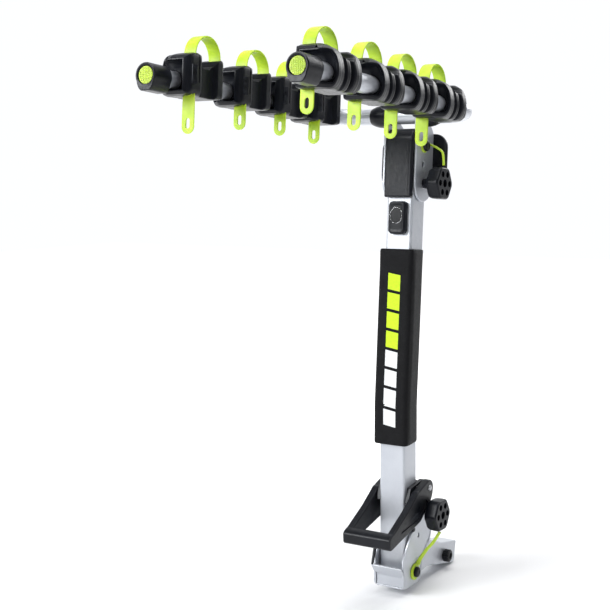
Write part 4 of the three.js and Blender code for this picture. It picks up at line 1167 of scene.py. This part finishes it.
def waffle():
    face = Tree("waffle", (("Squares across", "Int"), ("Width", "Float"), ("Radius", "Float"),
                           ("Square size", "Vector")))
    width, across = face.given["Width"], face.given["Squares across"]
    grid = face.node("GeometryNodeMeshGrid", {"Size X": width, "Size Y": width,
                                              "Vertices X": across, "Vertices Y": across})
    place = face.node("GeometryNodeInputPosition").outputs[0]
    distance = face.node("ShaderNodeVectorMath", {0: place}, operation="LENGTH")
    too_far = face.node("FunctionNodeCompare", {0: distance.outputs["Value"], 1: face.given["Radius"]},
                        data_type="FLOAT", operation="GREATER_THAN")
    trim = face.node("GeometryNodeDeleteGeometry", {"Geometry": grid.outputs["Mesh"],
                                                    "Selection": too_far.outputs[0]}, domain="POINT")
    return face.blocks(trim.outputs[0], "Square size")


WAFFLE = waffle()
cap_rings = [(0.8, -622, 1, 17.3), (0.8, -622, 0.2, 17.3), (0, -622.8, 0, 0), (0, -650, 0, 0),
             (0, -667.2, 0, 0), (0.5, -668.9, 0, 0), (1.6, -670, 0, 0), (2.8, -670, 0.3, 19),
             (3, -669.6, 1, 17.4), (3, -668.6, 1, 16.2),
             (3, -664, 1, 15.8), (3, -664, 1, 2)]
for name, side in arm_side.items():
    at = ARMS @ Matrix.Translation((side * arm_x, 0, 0))
    body = loft(f"arm_cap_{name}", [cap_ring(*spec) for spec in cap_rings])
    hand_over(body, at, CHARCOAL, "arms", "black_plastic", f"end_cap_{name}", sharp=42)
    plug = loft(f"plug_{name}", [[(x, y, z) for x, z in circle(0, 0, r, 56)] for y, r in (
        (-665.5, 2), (-665.5, 15.5), (-667.4, 15.5), (-668.0, 15), (-668.0, 2))])
    squares = grown("squares", WAFFLE, squares_across=8, width=23.8, radius=13.4, square_size=(2.4, 2.4, 1.2),
                    finish=LIME)
    squares = rounded(squares, 0.25, 1)
    squares.data.transform(Matrix.Translation((0, -668.2, 0)) @ Matrix.Rotation(math.pi / 2, 4, "X"))
    hand_over(combine(f"cap_waffle_{name}", plug, squares), at, LIME, "arms", "lime_rubber",
              f"cap_insert_{name}")

# %% [markdown]
# ## Cradles
# A cradle is a moulded saddle on the arm. Its outside is a barrel with rings, its inside a tall housing with a
# ribbed release panel, and its top dips so that a bike's tube can lie in it. The front is a hood that opens
# round the arm. One loft along the arm makes all of it: an outline seen along the arm, limited at
# each step by a top line, a bottom line and the ring profile. The slots for the strap are then cut.

# %% Cradle skin
housing_out = 48.7
strap_in, strap_wide = 18.7, 26.0
cradle_front, cradle_back = -24.0, 88.0


def interpolate(table, at):
    """A smooth line through [place, value] pairs."""
    places = [p for p, _ in table]
    at = min(max(at, places[0]), places[-1])
    for (p0, v0), (p1, v1) in zip(table, table[1:]):
        if at <= p1:
            t = (at - p0) / (p1 - p0)
            t = t * t * (3 - 2 * t)
            return v0 + (v1 - v0) * t
    return table[-1][1]


top_line = [(-24, 38), (-16, 44), (-4, 48.5), (6, 50), (13, 47), (22, 33), (34, 24.5), (50, 25.5), (60, 32),
            (67, 43), (74, 46), (82, 42), (88, 29)]
bottom_line = [(-24, -22), (-18, -26.5), (-8, -28.5), (20, -27.5), (60, -27.5), (76, -26), (88, -18)]
ring_line = [(-24, 30.5), (-20, 31.5), (-10, 31), (8, 29.5), (18, 28), (20.5, 23), (25, 23), (28, 29),
             (36, 29.5), (39, 28.5), (41, 23), (45, 23), (48, 31), (52, 32), (60, 32), (64, 30.5), (67, 24),
             (88, 22.5)]
inner_line = [(-24, 37), (-20, 43), (-14, 48), (-10, 48.7), (14, 48.7), (18, 40), (24, 37), (50, 36.5),
              (60, 38), (65, 46.4), (78, 46.4), (84, 43), (88, 34)]


def cradle_outline():
    pen = Pen(-12, -30).bend(-32, -24, -32, 2, 14).bend(-32, 34, -8, 43, 14).bend(4, 50, 16, 52, 8)
    pen.line(34, 52).bend(49, 52, 49, 34, 10).line(49, -12).bend(49, -30, 24, -30, 10)
    points, even = pen.points + [pen.points[0]], []
    lengths = [0]
    for a, b in zip(points, points[1:]):
        lengths.append(lengths[-1] + math.dist(a, b))
    k = 0
    for i in range(80):
        want = lengths[-1] * i / 80
        while lengths[k + 1] < want:
            k += 1
        t = (want - lengths[k]) / (lengths[k + 1] - lengths[k])
        even.append(tuple(p + (q - p) * t for p, q in zip(points[k], points[k + 1])))
    return even


flat_outline = cradle_outline()


def cradle_ring(y, shrink=0.0):
    top, bottom = interpolate(top_line, y) - shrink, interpolate(bottom_line, y) + shrink
    ring_radius, inner = interpolate(ring_line, y) - shrink, interpolate(inner_line, y) - shrink
    ring = []
    for x, z in flat_outline:
        if x < 0:
            reach = math.hypot(x, max(z, 0) * 0.72 if z > 0 else z)
            x *= min(1.0, ring_radius / max(reach, 1)) if z < 34 else ring_radius / 32
        x = soft_min(x, inner)
        z = -soft_min(-soft_min(z, top), -bottom)
        ring.append((x, y, z))
    return ring


def round_ring(y, radius):
    angles = [math.atan2(z, x) for x, z in flat_outline]
    return [(radius * math.cos(a), y, radius * math.sin(a)) for a in angles]


def slanted(point):
    """The hood's mouth runs back towards the outside of the rack."""
    x, y, z = point
    out = min(1, max(0, -x / 28))
    return (x, y + 17 * out * out * (3 - 2 * out) * max(0, min(1, (14 - y) / 38)), z)


def cradle_shape():
    places = sorted({round(-22.5 + 1.5 * i, 2) for i in range(74)} | {c for c, _ in ring_line[1:-1]})
    rings = [round_ring(cradle_back, 17.2), cradle_ring(cradle_back, 4), cradle_ring(cradle_back, 2)]
    rings += [cradle_ring(y) for y in reversed(places) if y < cradle_back - 1.2]
    rings += [cradle_ring(-23.6, 0.6), cradle_ring(cradle_front, 1.8), cradle_ring(cradle_front, 3.2)]
    rim = cradle_ring(cradle_front + 0.8, 4.2)
    for share, y in ((0.06, -19), (0.2, -13), (0.45, -9), (0.75, -6.5), (0.93, -5.5)):
        rings.append([(ax + (bx - ax) * share, y, az + (bz - az) * share)
                      for (ax, _, az), (bx, _, bz) in zip(rim, round_ring(y, 18.6))])
    rings += [round_ring(-5, 17.6), round_ring(-4.5, 17.2)]
    skin = loft("cradle", [[slanted(p) for p in ring] for ring in rings], ends="joined")

    def block(x0, x1, y0, y1, z0, z1):
        corners = [(x0, y0), (x1, y0), (x1, y1), (x0, y1)]
        return loft("block", [[(x, y, z) for x, y in corners] for z in (z0, z1)])

    return cut(skin,
               block(strap_in - 0.4, strap_in + strap_wide + 0.4, -2.4, 2.4, -70, 90),
               block(strap_in - 0.4, strap_in + strap_wide + 0.4, 69.6, 74.4, 12, 90),
               block(housing_out - 4.5, housing_out + 6, 6.4, 9.2, -4, 60),
               block(housing_out - 1.6, housing_out + 6, -16.4, -15.2, -14, 33),
               block(strap_in + 2, strap_in + strap_wide - 2, -8, -2, -40, -17),
               block(-6, 6, -26, -17, 37.5, 60))


cradle_mesh = cradle_shape()
print("cradle:", len(cradle_mesh.data.polygons), "faces")

# %% [markdown]
# The release panel on the housing has upright ribs. They repeat in a row, so a second small tree sets blocks
# along a line. The finished cradle is copied to the eight places, and mirrored on the right arm so that its
# housing faces the middle of the rack. A mirrored copy is turned right side out again.

# %% Ribs and copies
def row_of_ribs():
    row = Tree("row_of_ribs", (("Ribs", "Int"), ("Spacing", "Vector"), ("Rib size", "Vector")))
    points = row.node("GeometryNodeMeshLine", {"Count": row.given["Ribs"], "Offset": row.given["Spacing"]})
    return row.blocks(points.outputs[0], "Rib size")


ROW = row_of_ribs()
panel = grown("panel_ribs", ROW, ribs=7, spacing=(0, 2.1, 0), rib_size=(2.0, 1.0, 34.0), finish=CHARCOAL)
panel = rounded(panel, 0.3, 1)
panel.data.transform(Matrix.Translation((housing_out - 0.4, -13.2, 10)))
cradle_mesh = combine("cradle", cradle_mesh, panel)


def cradle_spots():
    """Arm, side, number and place of each cradle. Number 1 is nearest to the tip."""
    for name, side in arm_side.items():
        for number, from_tip in enumerate(cradle_places, 1):
            yield name, side, number, ARMS @ Matrix.Translation((side * arm_x, from_tip - arm_length, 0))


for name, side, number, at in cradle_spots():
    mesh = cradle_mesh.data.copy()
    if side > 0:
        mesh.transform(Matrix.Diagonal((-1, 1, 1, 1)))
        mesh.flip_normals()
    hand_over(placed(f"saddle_{name}_{number}", mesh), at, CHARCOAL, "arms", "black_plastic",
              f"cradle_{name}_{number}", sharp=40)
bpy.data.objects.remove(cradle_mesh)

# %% [markdown]
# ## Straps
# A strap is a flat band of rubber. It is anchored behind the saddle, goes over the tube in an arch and down
# through the housing, and its tail hangs out below with a round end and an oval slot. It is a swept band:
# the width shrinks along a circle at the tail, and the slot is cut through.

# %% Straps
strap_span, strap_base, strap_peak = 72.0, 46.0, 84.0
tails = {"right": [67, 78, 79, 81], "left": [94, 71, 68, 72]}
round_end = strap_wide / 2 + 0.5
strap_half_thick = 1.6


def strap_piece(title, centre, drop):
    path = []
    tail = [(-drop + round_end * (1 - math.cos(math.pi / 2 * i / 14))) for i in range(15)]
    for z in tail + list(np.linspace(-drop + round_end + 2, strap_base, 26)):
        path.append((centre, 0, z))
    middle, arch = strap_span / 2, strap_peak - strap_base - 2
    for i in range(1, 40):
        angle = math.pi * (1 - i / 40)
        path.append((centre, middle + middle * math.cos(angle), strap_base + arch * math.sin(angle)))
    path += [(centre, strap_span, z) for z in np.linspace(strap_base, 15, 8)]
    heights = [p[2] for p in path]
    total = len(path) - 1

    def size(t):
        k = round(t * total)
        if k < 15:
            up = heights[k] + drop
            return max(0.6, math.sqrt(max(0, round_end ** 2 - (round_end - up) ** 2))), strap_half_thick
        return (round_end if k < 24 else strap_wide / 2), strap_half_thick

    band = swept(title, path, size, across=(1, 0, 0), steps=20, power=6)
    hole = slab("hole", stadium(centre, 13.8 - drop, 23.2 - drop, 4.7), -8, 8, edge=0.01, facing=FRONT)
    return cut(band, hole)


for name, side, number, at in cradle_spots():
    band = strap_piece(f"rubber_strap_{name}_{number}", -side * (strap_in + strap_wide / 2),
                       tails[name][number - 1])
    hand_over(band, at, LIME, "arms", "lime_rubber", f"strap_{name}_{number}", sharp=40)
print("pieces:", len(shown), "triangles:", sum(len(p.vertices) - 2 for o in shown for p in o.data.polygons))

# %% [markdown]
# ## Studio
# The rack stands on a pale floor before a bright screen, and the far part of the floor has a painted glow: it
# emits light so that it looks lit like the screen. The screen is a glow on one side of the world, and the rest of
# the room is dim, so the black mouldings stay black. A large soft light from the front left brightens the mast's
# front, a weaker one from the right keeps its side cooler, one above draws lines of light along the tubes, and one
# behind lifts the back edges.

# %% Floor, lights and camera
screen_side = (-0.54, 0.84, 0.0)
floor_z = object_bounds()[0][2] - 0.002
floor_half = 9
corners = ((-1, -1), (1, -1), (1, 1), (-1, 1))
floor = new_piece("floor", [(x * floor_half, y * floor_half, floor_z) for x, y in corners], [(0, 1, 2, 3)])
paper = Shader("floor_paper")
paper.colour(paper.mix(paper.spread(paper.noise(0.5, 2), 0, 1), (0.925, 0.925, 0.928), (0.935, 0.935, 0.935)))
paper.set(Roughness=0.9)
reach = paper.nodes.new("ShaderNodeVectorMath")
reach.operation = "DOT_PRODUCT"
reach.inputs[1].default_value = screen_side
paper.links.new(paper.place, reach.inputs[0])
# Painted glow: the floor emits more towards the screen side, so that its far part looks lit by the screen.
far_glow = paper.spread(reach.outputs["Value"], 0, 0.95, 0.25, 1.3)
paper.links.new(far_glow, paper.surface.inputs["Emission Strength"])
paper.set(Emission_Color=(1, 1, 1, 1))
floor.data.materials.append(paper.material)

world = bpy.data.worlds.new("studio")
world.use_nodes = True
tree = world.node_tree
towards = tree.nodes.new("ShaderNodeTexCoord")
screen_at = tree.nodes.new("ShaderNodeVectorMath")
screen_at.operation = "DOT_PRODUCT"
screen_at.inputs[1].default_value = screen_side
tree.links.new(towards.outputs["Generated"], screen_at.inputs[0])
glow = tree.nodes.new("ShaderNodeMapRange")
glow.interpolation_type = "SMOOTHSTEP"
for socket, value in (("From Min", 0.35), ("From Max", 0.80), ("To Min", 0.16), ("To Max", 1.04)):
    glow.inputs[socket].default_value = value
tree.links.new(screen_at.outputs["Value"], glow.inputs["Value"])
tree.links.new(glow.outputs["Result"], tree.nodes["Background"].inputs["Strength"])
tree.nodes["Background"].inputs["Color"].default_value = (0.955, 0.97, 1.0, 1)
bpy.context.scene.world = world


def soft_light(name, place, aim, size, power, colour=(1, 1, 1)):
    data = bpy.data.lights.new(name, "AREA")
    data.shape, data.size, data.energy, data.color = "SQUARE", size, power, colour
    light = placed(name, data)
    light.location = place
    light.rotation_euler = (Vector(aim) - Vector(place)).to_track_quat("-Z", "Y").to_euler()


middle = (0, -0.3, 0.55)
soft_light("key", (-1.6, -3.4, 2.2), middle, 1.8, 140, (0.96, 0.98, 1.0))
soft_light("fill", (3.0, -1.0, 1.4), middle, 1.4, 7, (0.86, 0.92, 1.0))
soft_light("top", (0.3, -0.4, 3.4), middle, 2.2, 70)
soft_light("back", (0.6, 2.6, 2.2), middle, 1.4, 30)

camera_data = bpy.data.cameras.new("camera")
camera_data.lens = 71.11
camera_data.sensor_width = 36
camera = placed("camera", camera_data)
azimuth, elevation, roll = math.radians(32.567), math.radians(6.492), math.radians(0.481)
ahead = Vector((-math.sin(azimuth) * math.cos(elevation), math.cos(azimuth) * math.cos(elevation),
                -math.sin(elevation)))
right = Vector((math.cos(azimuth), math.sin(azimuth), 0))
down = ahead.cross(right)
image_right = right * math.cos(roll) + down * math.sin(roll)
image_down = down * math.cos(roll) - right * math.sin(roll)
camera.matrix_world = Matrix.Translation((1.20987, -2.49863, 0.89614)) @ Matrix(
    (image_right, -image_down, -ahead)).transposed().to_4x4()
bpy.context.scene.camera = camera
bpy.context.scene.view_settings.view_transform = "Standard"
